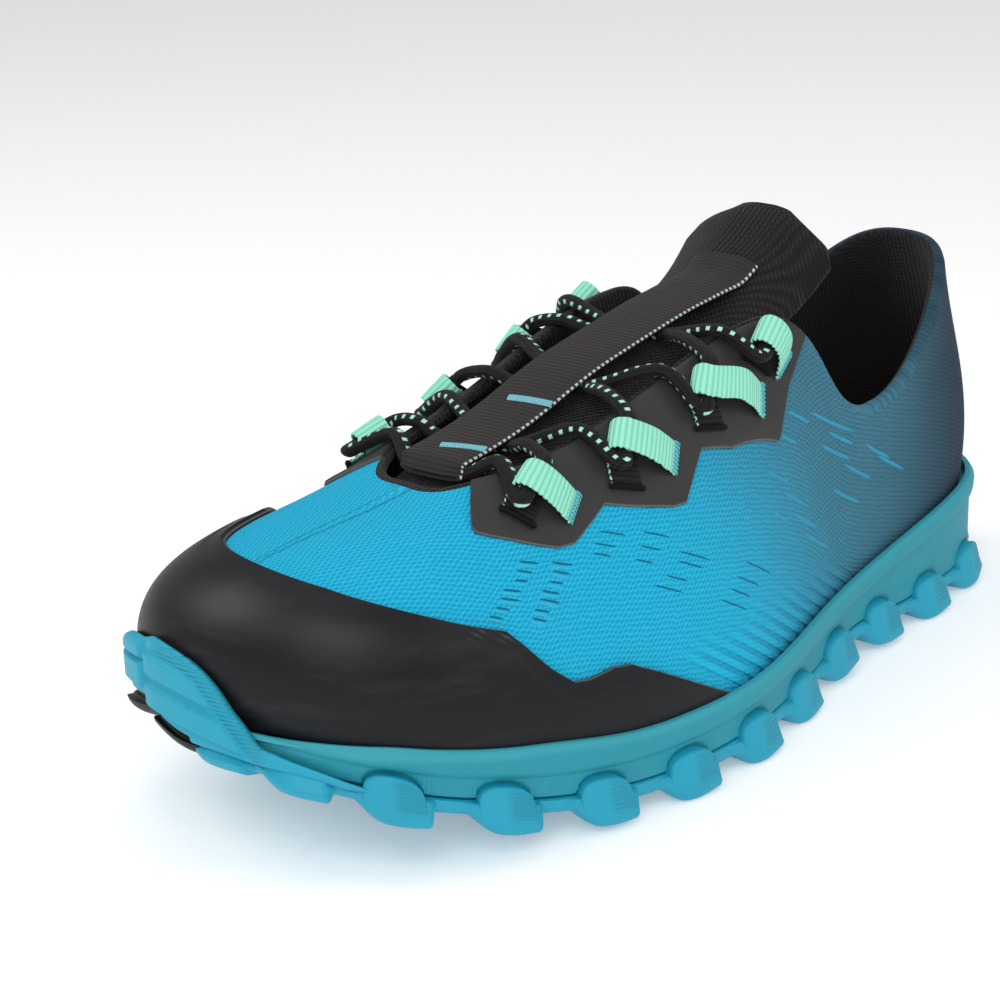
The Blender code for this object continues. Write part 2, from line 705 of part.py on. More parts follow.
def build_tongue():
    """Padded tongue under the throat, rising out of the collar."""
    x = np.linspace(TONGUE[0].x, TONGUE[-1].x, TONGUE_ROWS)[:, None]
    share = np.linspace(-1, 1, TONGUE_COLUMNS)[None, :]
    y = TONGUE_Y + share * open_spline(TONGUE, "half", "x", x)
    points = np.stack(np.broadcast_arrays(x, y, tongue_top(x, y)), -1)
    faces = grid_faces(TONGUE_ROWS, TONGUE_COLUMNS)
    tongue = add_part("tongue", points, faces, BLACK_MESH, closed=False)
    thicken(tongue, -TONGUE_THICK * facing(tongue))
    return tongue


def facing(sheet):
    """One where a sheet's faces point up, minus one where they point down."""
    return math.copysign(1.0, sheet.data.polygons[0].normal.z)


def strip_low(x, y):
    """Height of the strip's lower face, which leans with the tongue."""
    lean = open_spline(TONGUE, "tilt", "x", x) * (y - TONGUE_Y)
    return tongue_top(x, TONGUE_Y + 0 * x) + lean + open_spline(STRIP, "lift", "x", x)


def build_tongue_strip():
    """Webbing strip along the tongue's middle line, over the lace crossings."""
    x = np.linspace(STRIP[0].x, STRIP[-1].x, STRIP_ROWS)[:, None]
    y = TONGUE_Y + np.array([-STRIP_HALF, 0.0, STRIP_HALF])[None, :]
    points = np.stack(np.broadcast_arrays(x, y, strip_low(x, y)), -1)
    strip = add_part("tongue_strip", points, grid_faces(STRIP_ROWS, 3), BLACK_MESH, closed=False)
    thicken(strip, STRIP_THICK * facing(strip))
    return strip


def mirrored(around, side):
    """The same place on the chosen side."""
    return around if side == "lateral" else 360.0 - around


def build_loop(row, side, number):
    """Folded webbing: one leg from over the lace, round it, and the other leg back under it."""
    low = SEAT + BAND_THICK / 2
    reach = FOLD_RADIUS / WALL_RUN
    places = (
        (row.over_around, row.over_up, low),
        (0.5 * (row.over_around + row.fold_around), 0.5 * (row.over_up + row.fold_up), low + LEG_RISE),
        (row.fold_around, row.fold_up - 0.25 * reach, BAND_TOP),
        (row.fold_around, row.fold_up + 0.75 * reach, LACE_LIFT + FOLD_ROUND * FOLD_RADIUS),
        (row.fold_around, row.fold_up + 1.05 * reach, LACE_LIFT),
        (row.fold_around, row.fold_up + 0.75 * reach, LACE_LIFT - FOLD_ROUND * FOLD_RADIUS),
        (row.fold_around, row.fold_up - 0.25 * reach, low),
        (0.5 * (row.under_around + row.fold_around), 0.5 * (row.under_up + row.fold_up), low),
        (row.under_around, row.under_up, low),
    )
    around = mirrored(np.array([place[0] for place in places]), side)
    up = np.array([place[1] for place in places])
    path, normal = on_upper(around, up, np.array([place[2] for place in places]))
    fold = len(places) // 2
    edge_way = on_upper(around[fold] + 1.0, up[fold])[0] - on_upper(around[fold], up[fold])[0]
    edge_way /= np.linalg.norm(edge_way)
    legs = (np.cross(path[2] - path[0], normal[0]), np.cross(path[6] - path[8], normal[8]))
    legs = [leg / np.linalg.norm(leg) * np.sign(leg @ edge_way) for leg in legs]
    widths = [legs[0]] * 2 + [edge_way] * 5 + [legs[1]] * 2
    sections = []
    for i, (spot, width) in enumerate(zip(path, widths)):
        along = path[min(i + 1, len(path) - 1)] - path[max(i - 1, 0)]
        thick = np.cross(along, width)
        thick *= BAND_THICK / 2 / np.linalg.norm(thick)
        half = width * BAND_HALF
        below, above = spot - thick, spot + thick
        sections.append([below - half, below + half, above + half, above - half])
    return add_part(f"loop_{side}_{number}", sections, tube_faces(len(places), 4), MINT)


def lace_spot(around, up, lift, side):
    """A point of the lace above the upper."""
    return on_upper(np.array([mirrored(around, side)]), np.array([up]), np.array([lift]))[0][0]


def lace_through(row, side, swing, rearward):
    """Lace points through one loop, toe side to collar side; in the last loop the lace ends."""
    edge_lift = SEAT + LACE_RADIUS + 2 * GAP
    beside = BAND_HALF + LACE_RADIUS + LACE_BESIDE
    step = 1.0 / np.linalg.norm(lace_spot(row.fold_around + 1.0, 1.0, 0.0, side)
                                - lace_spot(row.fold_around, 1.0, 0.0, side))
    spots = []
    spots.append(lace_spot(row.fold_around + step * (beside + swing), LACE_OVER, edge_lift, side))
    spots.append(lace_spot(row.fold_around + step * beside, row.fold_up + LACE_BOW, LACE_LIFT, side))
    spots.append(lace_spot(row.fold_around, row.fold_up, LACE_LIFT, side))
    if rearward:
        spots.append(lace_spot(row.fold_around - step * beside, row.fold_up + LACE_BOW, LACE_LIFT, side))
        spots.append(lace_spot(row.fold_around - step * (beside + LACE_SWING), LACE_OVER, edge_lift, side))
    else:
        spots.append(lace_spot(row.fold_around - step, row.fold_up, LACE_LIFT, side))
    return spots


def lace_centre(x):
    """A point of the lace under the strip."""
    height = float(tongue_top(np.array(x), np.array(TONGUE_Y))) + LACE_RADIUS + LACE_FLOAT
    return np.array([x, TONGUE_Y, height])


def lace_beside(centre, spot):
    """A point of the lace at the strip's edge, low enough to pass under it."""
    share = (STRIP_HALF + LACE_RADIUS) / abs(spot[1] - TONGUE_Y)
    x, y = centre[:2] + share * (spot[:2] - centre[:2])
    return np.array([x, y, float(tongue_top(x, y)) + LACE_RADIUS + LACE_FLOAT])


def lace_strand(name, first_side):
    """One half of the lace, zigzag from the bottom bar up to the last loop."""
    sides = [first_side, "medial" if first_side == "lateral" else "lateral"]
    route = [lace_centre(BAR_X)]
    for k, row in enumerate(LOOPS):
        if k:
            folds = np.array([LOOPS[k - 1].fold_around, row.fold_around])
            edges, _ = on_upper(folds, np.ones(2))
            centre = lace_centre(float(edges[:, 0].mean()))
            route += [lace_beside(centre, route[-1]), centre]
        through = lace_through(row, sides[k % 2], LACE_SWING if k else BAR_SWING, k < len(LOOPS) - 1)
        route.append(lace_beside(route[-1], through[0]))
        route += through
    points = smooth_path(route, 2)
    curve = bpy.data.curves.new(name, "CURVE")
    curve.dimensions = "3D"
    curve.bevel_depth = LACE_RADIUS * MM
    curve.bevel_resolution = 1
    curve.use_fill_caps = True
    spline = curve.splines.new("POLY")
    spline.points.add(len(points) - 1)
    spline.points.foreach_set("co", np.column_stack([points * MM, np.ones(len(points))]).ravel())
    holder = bpy.data.objects.new(name + "_path", curve)
    bpy.data.collections["helpers"].objects.link(holder)
    bpy.context.view_layer.update()
    ready = holder.evaluated_get(bpy.context.evaluated_depsgraph_get())
    mesh = bpy.data.meshes.new_from_object(ready)
    bpy.data.objects.remove(holder)
    shape = bmesh.new()
    shape.from_mesh(mesh)
    bmesh.ops.remove_doubles(shape, verts=shape.verts, dist=1e-6)
    bmesh.ops.recalc_face_normals(shape, faces=shape.faces)
    points = [vert.co / MM for vert in shape.verts]
    faces = [tuple(vert.index for vert in face.verts) for face in shape.faces]
    shape.free()
    bpy.data.meshes.remove(mesh)
    return points, faces


def build_lace():
    """Both halves of the lace, joined at the bottom bar and at every crossing."""
    points, faces = lace_strand("strand_lateral", "lateral")
    lace = add_part("lace", points, faces, BLACK_MESH)
    points, faces = lace_strand("strand_medial", "medial")
    join_to(lace, cutter("strand_medial", points, faces))
    return lace


def main():
    for obj in list(bpy.data.objects):
        bpy.data.objects.remove(obj)
    for name in (NAME, "helpers"):
        bpy.context.scene.collection.children.link(bpy.data.collections.new(name))
    root = bpy.data.objects.new("root", None)
    root.location = (-BOX_CENTRE[0] * MM, -BOX_CENTRE[1] * MM, 0.0)
    bpy.data.collections[NAME].objects.link(root)
    build_midsole()
    build_outsole()
    build_insole()
    build_upper()
    build_toe_rand()
    build_tongue()
    build_tongue_strip()
    for side in ("lateral", "medial"):
        build_eyestay(side)
        for number, row in enumerate(LOOPS, 1):
            build_loop(row, side, number)
    build_lace()


main()
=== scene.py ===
"""Left hiking shoe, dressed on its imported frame: knit upper, film overlays, webbing, lace and lugged sole.

Form functions work in millimetres in the last's own frame: +X to the toe, +Y to the lateral side, +Z up from the
floor. Places on the upper have two coordinates. "around" runs once round the shoe in degrees: 0 at the heel, 90 at
the lateral waist, 180 at the toe and 270 at the medial waist. "up" runs from 0 at the sole to 1 at the opening.
"""
import math
from collections import namedtuple

import bmesh
import bpy
import numpy as np
from mathutils import Matrix, Vector


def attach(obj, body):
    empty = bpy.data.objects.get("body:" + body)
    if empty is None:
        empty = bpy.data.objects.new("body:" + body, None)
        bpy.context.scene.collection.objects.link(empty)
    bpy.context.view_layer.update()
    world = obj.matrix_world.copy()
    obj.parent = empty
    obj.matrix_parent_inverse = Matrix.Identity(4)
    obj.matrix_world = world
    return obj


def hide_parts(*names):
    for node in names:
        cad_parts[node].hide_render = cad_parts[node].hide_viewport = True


bl_info = {
    "name": "Hiking shoe",
    "version": (1, 0, 0),
    "blender": (4, 5, 0),
    "location": "3D View > Sidebar > Shoe",
    "description": "Builds the finished surfaces of a left hiking shoe on its packed frame",
    "category": "Object",
}

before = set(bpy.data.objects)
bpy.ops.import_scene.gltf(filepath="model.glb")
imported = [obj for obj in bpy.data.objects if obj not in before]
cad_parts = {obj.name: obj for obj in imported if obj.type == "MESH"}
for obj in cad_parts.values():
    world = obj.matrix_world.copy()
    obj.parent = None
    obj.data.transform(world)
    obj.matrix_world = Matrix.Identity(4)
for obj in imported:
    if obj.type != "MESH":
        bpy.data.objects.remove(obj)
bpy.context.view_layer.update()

MM = 0.001
TURN = 2 * math.pi
LAST_SHIFT = np.array([4.0, -1.9, 0.0])
SLOPE_STEP = 1e-4

# Clearance between pieces, the upper's wall and the films on it
GAP = 0.3
WALL = 2.0
COLLAR_PAD = 2.2
PAD_FROM, PAD_FULL = 0.45, 0.85
OVERLAY_LIFT = 0.5
FILM_ROUND = 1.1
RAND_THICK = 1.1
RAND_UNDER_RIM = 1.0
STIFFENER = 0.35
STIFF_FROM_TOP, STIFF_FROM_FOOT = (4.5, 6.5), (0.0, 12.0)
EYESTAY_THICK = 0.7
EYESTAY_TOP = 0.985

# Tongue with its rounded tip and quilted top, and the webbing strip along its middle, which waves a little and lies
# down on it at the rear
TONGUE_THICK = 3.0
TONGUE_Y = 1.0
TONGUE_BEND = 2.2
TONGUE_TIP = (56.0, 62.2)
TIP_ROUND = 0.9
QUILT, QUILT_HALF = 0.5, 24.0
QUILT_FROM = (20.0, 45.0)
STRIP_HALF = 10.0
STRIP_THICK = 1.2
STRIP_LIFT = 4.9
STRIP_CROWN = 0.5
STRIP_LAID = (20.0, 41.0)
STRIP_WAVE, STRIP_WAVE_RUN = 0.12, 37.0
# Front end of the strip: how far it is drawn back, where it starts to turn down and over what length, how much its
# corners are rounded off, and how far it drops
NOSE_BACK = 0.4
NOSE_START, NOSE_LENGTH = 4.2, 3.8
NOSE_ROUND, NOSE_DROP = 2.0, 2.6

# Webbing loops: section and ribs, which change its width and thickness, rise of the upper leg, roundness of the fold
# and its turn to the toe, and how high webbing and lace lie over the wall
BAND_THICK = 0.9
BAND_HALF = 4.2
BAND_RIB = 1.35
BAND_IN, BAND_OUT = 0.3, 0.34
BAND_THIN, BAND_SWELL = 0.06, 0.08
LEG_RISE = 4.2
FOLD_ROUND = 0.72
LOOP_TURN = 40.0
LACE_RADIUS = 1.7
SEAT = OVERLAY_LIFT + EYESTAY_THICK + GAP
LACE_LIFT = SEAT + BAND_THICK + 2 * GAP + LACE_RADIUS
FOLD_RADIUS = LACE_RADIUS + 2.6 * GAP + BAND_THICK / 2

# Lace: its room beside a loop, how far up and how far from a fold it passes the throat's edge, how far behind a pair
# of loops and beside the tongue's middle its halves cross, its rise between a fold and the strip, and the bottom bar
LACE_BESIDE = 0.8
LACE_OVER = 1.0
TOE_SWING, BAR_SWING = 12.5, 7.0
CROSS_BEHIND, CROSS_SIDE = 4.7, 9.2
HEEL_RISE = 1.8
BAR_X = 57.5
# Its oval section, the wave in its width, its room under the strip and its lift at the throat's edge
LACE_WIDE, LACE_FLAT = 1.18, 0.92
LACE_SLACK, SLACK_RUN = 0.08, 5.3
LACE_UNDER = 0.1
EDGE_LIFT = SEAT + 0.65 * LACE_RADIUS

# Sole: rubber plate and how far down its edge shows, toe spring, bevel at the heel, arch, dish with the foot bed, the
# upper's foot in the dish, and the step in the foam's side under the rim
PLATE = 2.0
PLATE_EDGE = 3.6
TOE_SPRING = 22.6
SPRING_START = 35.5
HEEL_BEVEL = 4.0
BEVEL_START = -108.0
ARCH_RAISE = 2.0
ARCH_FROM, ARCH_TO = -82.0, -24.0
DISH_DEPTH = 3.0
INSOLE_THICK = 4.0
INSOLE_INSET = 6.6
FEATHER_INSET = 3.1
FEATHER_DROP = DISH_DEPTH - GAP
STEP_DROP = 6.0
# Extra lift of the sole's edge round the medial side of the toe, and where it comes and goes
TOE_CURL = 5.0
CURL_WINDOW = (177.0, 190.0, 212.0, 228.0)

# Side lugs along the sole's edge
LUG_DEPTH = 5.5
LUG_PITCH = 25.3
FIRST_LUG = 9.6
SIDE_LUGS = 11
LUG_INWARD = 14.0
LUG_TAPER = 0.55
TOE_LUG_WIDTH = 0.95
# One side lug, in millimetres along the sole's edge towards the toe: where its steep heel side and its long toe side
# start and end, the middle and half width of its arched tab, and the ridge between its two outer faces
LUG_HEEL = (-8.4, -6.6)
LUG_TOE = (3.0, 12.8)
TAB_MID, TAB_HALF = 0.9, 6.5
LUG_RIDGE = 1.6
# Share of the depth by which its lower face lies higher at the heel side and where that ends, the powers that round
# its tab, where its outer face comes out past the heel side, and how softly it turns at the ridge
LUG_SAG = 0.12
SAG_RUN = (-8.0, 0.5)
TAB_POWERS = (2.4, 0.45)
FACE_START = (-0.6, 2.6)
RIDGE_SOFT = 0.02
# Heights of the tab over the floor, reach of the outer face at its foot and at its top and where it starts inside
# the plate, and the pocket in the foam: its depth and its room over the tab
TAB_TOP = 11.6
TAB_LOW = LUG_DEPTH + PLATE - 0.3
LUG_OUT_LOW, LUG_OUT_HIGH = 4.2, 2.7
LUG_ROOT = 0.4
POCKET_DEPTH = 0.9
POCKET_ROOM = 0.9
# Soft ends and soft edge of a pocket, and the heights under the rim over which the foam's side follows its edge
POCKET_END = (-0.2, 1.2)
POCKET_EDGE = (-0.4, 0.9)
FOAM_FOLLOWS = (-5.0, -1.0)


def table_of(kind, *rows):
    """Table of numbers with named columns."""
    return tuple(kind(*row) for row in rows)


# Shallow lugs of the toe: distance along the outline, and depth as a share on each side
ToeLugRow = namedtuple("ToeLugRow", "run lateral medial")
TOE_LUGS = table_of(ToeLugRow, (283.7, 0.75, 0.4), (301.7, 0.55, 0.1))
# Rounded foot and top of a side lug: how far in from its outer face, and how far up from its foot or down from its top;
# rows on the face between them, and where its top ends inside the foam
RoundRow = namedtuple("RoundRow", "inward level")
LUG_FOOT = table_of(RoundRow, (2.6, 0.0), (1.6, 0.13), (0.8, 0.5), (0.25, 1.1), (0.0, 2.0))
LUG_TOP = table_of(RoundRow, (0.0, 0.9), (0.2, 0.4), (0.6, 0.1), (1.2, 0.0))
LUG_FACE_ROWS = 6
LUG_BACK = -1.6

# One row for each section of the last, heel to toe: the sole edge, the height of the midsole rim, the rim of the
# opening on both sides, and how the wall leaves the sole (lean, rise) and meets the opening (slope, reach)
Section = namedtuple("Section", "edge_x edge_lateral edge_medial rim_z top_x top_lateral top_medial top_z "
                                "lean rise slope reach")
LAST = table_of(
    Section,
    (-136.0, 0.0, 0.0, 31.0, -125.0, 0.0, 0.0, 95.0, 10.0, 28.0, 84.0, 25.0),
    (-121.0, 24.0, -23.5, 30.5, -113.0, 20.0, -19.0, 89.0, 8.0, 26.0, 84.0, 23.0),
    (-92.0, 31.5, -31.0, 27.5, -86.0, 30.0, -28.5, 71.0, 5.0, 20.0, 86.0, 18.0),
    (-42.0, 39.0, -32.5, 21.5, -54.0, 31.0, -28.0, 71.0, 0.0, 18.0, 76.0, 17.0),
    (5.0, 52.5, -39.0, 19.8, -30.0, 25.0, -22.5, 95.0, 0.0, 22.0, 50.0, 23.0),
    (42.0, 53.0, -47.0, 19.5, 19.0, 21.5, -19.5, 83.5, 3.0, 22.5, 40.0, 23.0),
    (80.0, 44.0, -50.0, 19.0, 50.0, 18.0, -16.5, 77.0, 8.0, 25.0, 30.0, 21.0),
    (108.0, 30.0, -43.5, 18.5, 62.5, 11.0, -11.0, 74.5, 15.0, 32.0, 20.0, 25.0),
    (126.5, -10.0, -10.0, 18.0, 65.5, 0.0, 0.0, 74.0, 17.0, 36.0, 18.0, 29.0)
)

EDGE_MIDDLE = (LAST[0].edge_x + LAST[-1].edge_x) / 2
EDGE_HALF = (LAST[-1].edge_x - LAST[0].edge_x) / 2

# Visible edge of the foam against the solid's rim, the same on both sides
FoamRow = namedtuple("FoamRow", "around offset")
FOAM_EDGE = table_of(
    FoamRow,
    (100.0, 0.0), (113.0, 0.8), (124.0, 1.7), (132.0, 1.0), (141.0, 0.2), (146.5, -0.4), (151.0, -1.5), (157.2, -3.0),
    (163.0, -4.2), (168.0, -4.8), (180.0, -4.8)
)

# Free edges of the films: the rand's upper edge, and the lower edge of the lateral eyestay
EdgeRow = namedtuple("EdgeRow", "around up")
RAND_EDGE = table_of(
    EdgeRow,
    (98.4, 0.027), (109.8, 0.2045), (113.6, 0.256), (116.0, 0.262), (119.5, 0.243), (121.5, 0.243), (124.5, 0.29),
    (128.5, 0.37), (131.0, 0.41), (136.0, 0.422), (149.0, 0.46), (161.0, 0.49), (177.0, 0.51), (189.0, 0.525),
    (196.0, 0.54), (201.0, 0.572), (206.0, 0.615), (211.0, 0.652), (216.0, 0.64), (223.0, 0.55), (231.0, 0.41),
    (239.0, 0.25), (246.0, 0.262), (261.6, 0.027)
)
EYESTAY_EDGE = table_of(
    EdgeRow,
    (86.5, 0.97), (88.5, 0.833), (89.5, 0.775), (90.5, 0.63), (98.3, 0.65), (102.2, 0.695), (104.5, 0.59),
    (106.0, 0.60), (114.5, 0.725), (119.5, 0.647), (122.0, 0.647), (137.5, 0.748), (138.5, 0.77), (141.3, 0.94),
    (142.0, 0.975)
)
# Knit slits that press through the rand: where they show around and up, how far they lean and from what level, their
# climb with each degree, and their distances up and around
MARKS_AROUND = (124.0, 126.0, 134.0, 137.0)
MARKS_UP = (0.36, 0.39)
MARK_LEAN, MARK_LEVEL = 32.0, 0.42
MARK_CLIMB = 0.01
MARK_ROW, MARK_PITCH = 0.022, 5.2
# Painted highlight on the rand's crown, as soft spots: place, reach around and up, and strength
HighlightRow = namedtuple("HighlightRow", "around up length height share")
CROWN_HIGHLIGHT = table_of(
    HighlightRow,
    (174.0, 0.34, 6.5, 0.085, 1.0), (157.0, 0.335, 13.0, 0.05, 0.5), (196.0, 0.33, 7.0, 0.2, 0.6)
)

# Webbing loops beside the throat, toe to collar, given for the lateral side
LoopRow = namedtuple("LoopRow", "fold_around fold_up over_around over_up under_around under_up")
LOOPS = table_of(
    LoopRow,
    (127.3, 0.87, 119.4, 0.75, 129.4, 0.77),
    (111.8, 0.87, 105.7, 0.72, 111.6, 0.735),
    (102.4, 0.86, 94.6, 0.74, 101.3, 0.735),
    (95.0, 0.915, 91.4, 0.83, 95.4, 0.84)
)

# Fold of a loop round the lace: shares of its radius, out over the fold and off the wall
FoldRow = namedtuple("FoldRow", "out off")
FOLD = table_of(FoldRow, (-0.25, 1.0), (0.75, FOLD_ROUND), (1.05, 0.0), (0.75, -FOLD_ROUND), (-0.25, -0.94))
# Comb of stitches on a loop: their number, reach across, start and length, and their height over the way along them
COMB_COUNT, COMB_REACH = 8, 0.86
COMB_START, COMB_LENGTH = -3.0, 4.6
CombRow = namedtuple("CombRow", "share climb")
COMB = table_of(CombRow, (0.0, -0.4), (0.42, -0.3), (0.56, 0.6), (0.92, 0.62), (1.0, 0.42))
# Dark cord painted as shadow in the slot at a loop's lower end: reach across, depth, and bend of its ends
SLOT_REACH, SLOT_DEPTH, SLOT_BEND = 1.05, 0.25, 0.5

# Middle line of the tongue, toe end to top, and the webbing strip's height over it
TongueRow = namedtuple("TongueRow", "x z half drop tilt")
TONGUE = table_of(
    TongueRow,
    (80.0, 64.5, 13.0, 2.0, 0.0), (64.0, 70.2, 14.5, 1.8, 0.03), (50.0, 73.0, 17.8, 2.2, 0.04),
    (20.0, 80.6, 20.4, 2.3, 0.04), (-30.0, 93.8, 22.0, 6.0, 0.03), (-50.0, 104.5, 22.5, 8.0, 0.0),
    (-62.0, 114.0, 24.0, 8.0, 0.0)
)
StripRow = namedtuple("StripRow", "x lift")
STRIP = table_of(
    StripRow,
    (62.0, STRIP_LIFT + 0.5), (57.5, STRIP_LIFT + 0.3), (46.0, STRIP_LIFT), (-22.0, STRIP_LIFT), (-34.0, 2.4),
    (-41.0, 0.5), (-46.0, 0.3)
)

# Bar tacks across the strip, from its medial to its lateral end, and the radii of the stitches and of the dark cords
# painted as shadow in the slots
TackRow = namedtuple("TackRow", "from_x to_x left right")
TACKS = table_of(TackRow, (53.6, 51.0, -1.0, 10.0), (30.6, 29.6, -1.5, 10.6))
TACK_RADIUS, COMB_RADIUS, SLOT_RADIUS = 0.42, 0.3, 0.75

# Side of the midsole, plate to dish: reach out from the sole edge, share of the way from plate to rim, and a
# height added to that
SideRow = namedtuple("SideRow", "out share height")
MIDSOLE_SIDE = table_of(
    SideRow,
    (-6.0, 0.0, GAP), (-2.2, 0.0, GAP), (-1.0, 0.0, GAP + 0.1), (-0.55, 0.0, GAP + 0.5), (-0.5, 0.12, GAP),
    (-0.46, 0.22, 0.0), (-0.42, 0.32, 0.0), (-0.38, 0.42, 0.0), (-0.3, 0.7, -2.4), (-0.2, 1.0, -6.0),
    (0.05, 1.0, -5.75), (0.4, 1.0, -5.3), (0.68, 1.0, -4.8), (0.85, 1.0, -4.0), (0.95, 1.0, -3.0), (1.0, 1.0, -2.0),
    (0.9, 1.0, -1.5), (0.4, 1.0, -0.7), (0.0, 1.0, -0.1), (-0.4, 1.0, 0.05), (-1.5, 1.0, 0.0),
    (-1.6, 1.0, -DISH_DEPTH)
)
PLATE_SIDE = table_of(
    SideRow,
    (-2.4, 0.0, 0.0), (-0.9, 0.0, -0.05), (-0.35, 0.0, -0.35), (-0.2, 0.0, -1.0), (-0.2, 0.0, -2.6),
    (-0.5, 0.0, -3.2), (-1.4, 0.0, -3.5), (-5.0, 0.0, -3.4), (-6.0, 0.0, -PLATE)
)

# Side and top of the foot bed: how far in from the sole's edge, and how high over the dish
BedRow = namedtuple("BedRow", "inset height")
FOOT_BED = table_of(
    BedRow,
    (8.0, 0.0), (INSOLE_INSET, 0.6), (INSOLE_INSET, INSOLE_THICK - 1.0), (INSOLE_INSET + 0.5, INSOLE_THICK - 0.2),
    (INSOLE_INSET + 1.6, INSOLE_THICK), (INSOLE_INSET + 6.0, INSOLE_THICK - 0.4)
)

# Ground lugs: rows across the sole, with each block's size and turn, and their taper towards the floor
TreadRow = namedtuple("TreadRow", "x count along across turn")
TREAD = table_of(
    TreadRow,
    (-112.0, 2, 11.0, 8.0, 24.0), (-92.0, 2, 12.0, 11.0, 24.0), (-68.0, 2, 11.0, 12.0, 24.0),
    (-43.0, 1, 11.0, 16.0, 0.0), (-19.0, 2, 11.0, 14.0, -24.0), (5.0, 2, 12.0, 16.0, -24.0),
    (29.0, 3, 12.0, 14.0, -24.0), (53.0, 3, 12.0, 13.0, -24.0), (77.0, 2, 12.0, 15.0, -24.0),
    (98.0, 1, 11.0, 18.0, 0.0)
)
TREAD_TAPER = 0.85
TREAD_ROUND = 0.6

# Toe bumper: top edge as a height above the midsole rim, and its thickness; the visible edge lies a little lower
BUMPER_DROP = 1.3
BUMPER_FULL = 3.4
# Its room over the rand, how deep it starts under the plate's top and how high it is at least, its plain and rounded
# share of the thickness, the radii of its top and foot, and how far in its foot lies at the corner and at the dark lip
BUMPER_ROOM = 0.65
BUMPER_SINK, BUMPER_LEAST = 0.6, 0.4
BUMPER_FLAT, BUMPER_BULGE = 0.15, 0.4
CROWN_ROUND, FOOT_ROUND = 2.0, 1.6
FOOT_BACK, LIP_BACK = 0.8, 0.7
BUMPER_UNDER = -3.0
# Its medial lobes: where they start, and how much lower and thinner they are; its ridged part and ridged top edge; the
# dark lip of bumper and plate, and how high it is
LOBES = (184.0, 189.0)
LOBE_DROP, LOBE_THIN = 1.8, 0.45
RIDGED_FROM, RIDGED_TO = (163.0, 166.0), (171.6, 172.4)
RIDGED_TOP = (2.6, 3.4)
RIDGED_WINDOW = (*RIDGED_FROM, 182.0, 186.0)
BUMPER_LIP = (176.5, 177.5, 218.0, 222.0)
PLATE_LIP = (177.0, 178.0, 220.0, 224.0)
LIP_HEIGHT = 1.9
BumperRow = namedtuple("BumperRow", "around above_rim thick")
BUMPER = table_of(
    BumperRow,
    (159.5, -8.6, 1.6), (165.0, -5.4, 2.6), (167.0, -2.0, 3.2), (169.0, 1.1, 3.4), (171.0, 4.8, 3.4),
    (173.5, 7.9, 3.4), (177.0, 10.3, 3.4), (182.0, 12.0, 3.4), (189.0, 13.0, 3.4), (197.0, 12.4, 3.4),
    (204.0, 9.6, 3.4), (210.0, 5.2, 3.4), (216.0, -1.0, 3.4), (222.0, -5.4, 3.2), (229.0, -8.6, 1.6)
)
# Raised forms on the bumper: around from and to, middle height above the rim at the toe's middle, half height, lift
PanelRow = namedtuple("PanelRow", "start end middle half lift")
PANELS = table_of(
    PanelRow,
    (172.2, 186.8, 4.4, 2.7, 1.0), (172.2, 186.8, -2.9, 3.0, 1.1), (188.2, 216.0, 6.4, 2.5, 1.3),
    (188.2, 216.0, 0.2, 3.2, 1.4)
)
# Rise of the raised forms in each degree, slant of their near ends, and where the near pair meets the far pair
PANEL_TILT = 0.2
PANEL_SLANT = 0.59
PANEL_SPLIT = 188.0
# The toe's middle, and the softness of the panels' ends and sides
PANEL_MIDDLE = 182.0
PANEL_END, PANEL_SIDE = 0.4, 0.6
# Low end of the bumper along the lateral toe, where it runs out over the foam
BUMPER_TAIL = table_of(
    BumperRow,
    (149.5, -10.9, 0.9), (153.5, -9.8, 1.3), (157.0, -8.9, 1.5), (160.4, -8.2, 1.7), (163.0, -7.5, 2.1),
    (165.4, -6.4, 2.7)
)

# Rows of slits in the knit, from one end of the row to the other, given for the lateral side
DashRow = namedtuple("DashRow", "around_from up_from around_to up_to count length width")
DARK_SLITS = table_of(
    DashRow,
    (126.3, 0.635, 132.5, 0.438, 7, 4.2, 0.55), (120.8, 0.612, 126.0, 0.425, 7, 4.6, 0.55),
    (113.3, 0.645, 116.5, 0.575, 3, 6.0, 0.45), (107.6, 0.575, 111.0, 0.50, 3, 6.2, 0.45),
    (102.6, 0.455, 108.0, 0.40, 4, 8.2, 0.45), (92.5, 0.34, 98.5, 0.26, 4, 10.0, 0.45)
)
# Raised bars between the slits of the two front rows
LIGHT_BARS = table_of(
    DashRow,
    (126.6, 0.625, 132.8, 0.428, 7, 4.6, 0.8), (121.1, 0.602, 126.3, 0.415, 7, 5.0, 0.8)
)
# Single pale floats in the faded knit: place and length; then their width, and the slope of all slits and floats
FloatRow = namedtuple("FloatRow", "around up length")
PALE_FLOATS = table_of(
    FloatRow,
    (76.0, 0.818, 20.0), (72.6, 0.79, 11.5), (74.0, 0.712, 15.0), (84.6, 0.487, 14.0), (89.6, 0.543, 11.0),
    (81.4, 0.423, 16.0), (77.4, 0.34, 16.0), (85.8, 0.72, 10.0), (87.8, 0.645, 8.0), (93.0, 0.50, 8.0),
    (88.5, 0.44, 9.0), (84.6, 0.37, 11.0), (66.0, 0.62, 15.0), (69.0, 0.50, 15.0), (61.0, 0.70, 14.0),
    (57.0, 0.55, 14.0)
)
FLOAT_WIDTH = 1.0
DASH_SLOPE = 30.0
DASH_SECTIONS = 9
# Section of a slit, bar or float as shares of its width and height, those heights, and how uneven a row is
DashPoint = namedtuple("DashPoint", "side rise")
DASH_SHAPE = table_of(DashPoint, (-0.5, -0.1), (-0.3, 0.75), (0.0, 1.0), (0.3, 0.75), (0.5, -0.1))
SLIT_RISE, YARN_RISE = 0.1, 0.28
DASH_SWAY, DASH_UNEVEN = 0.35, 0.2

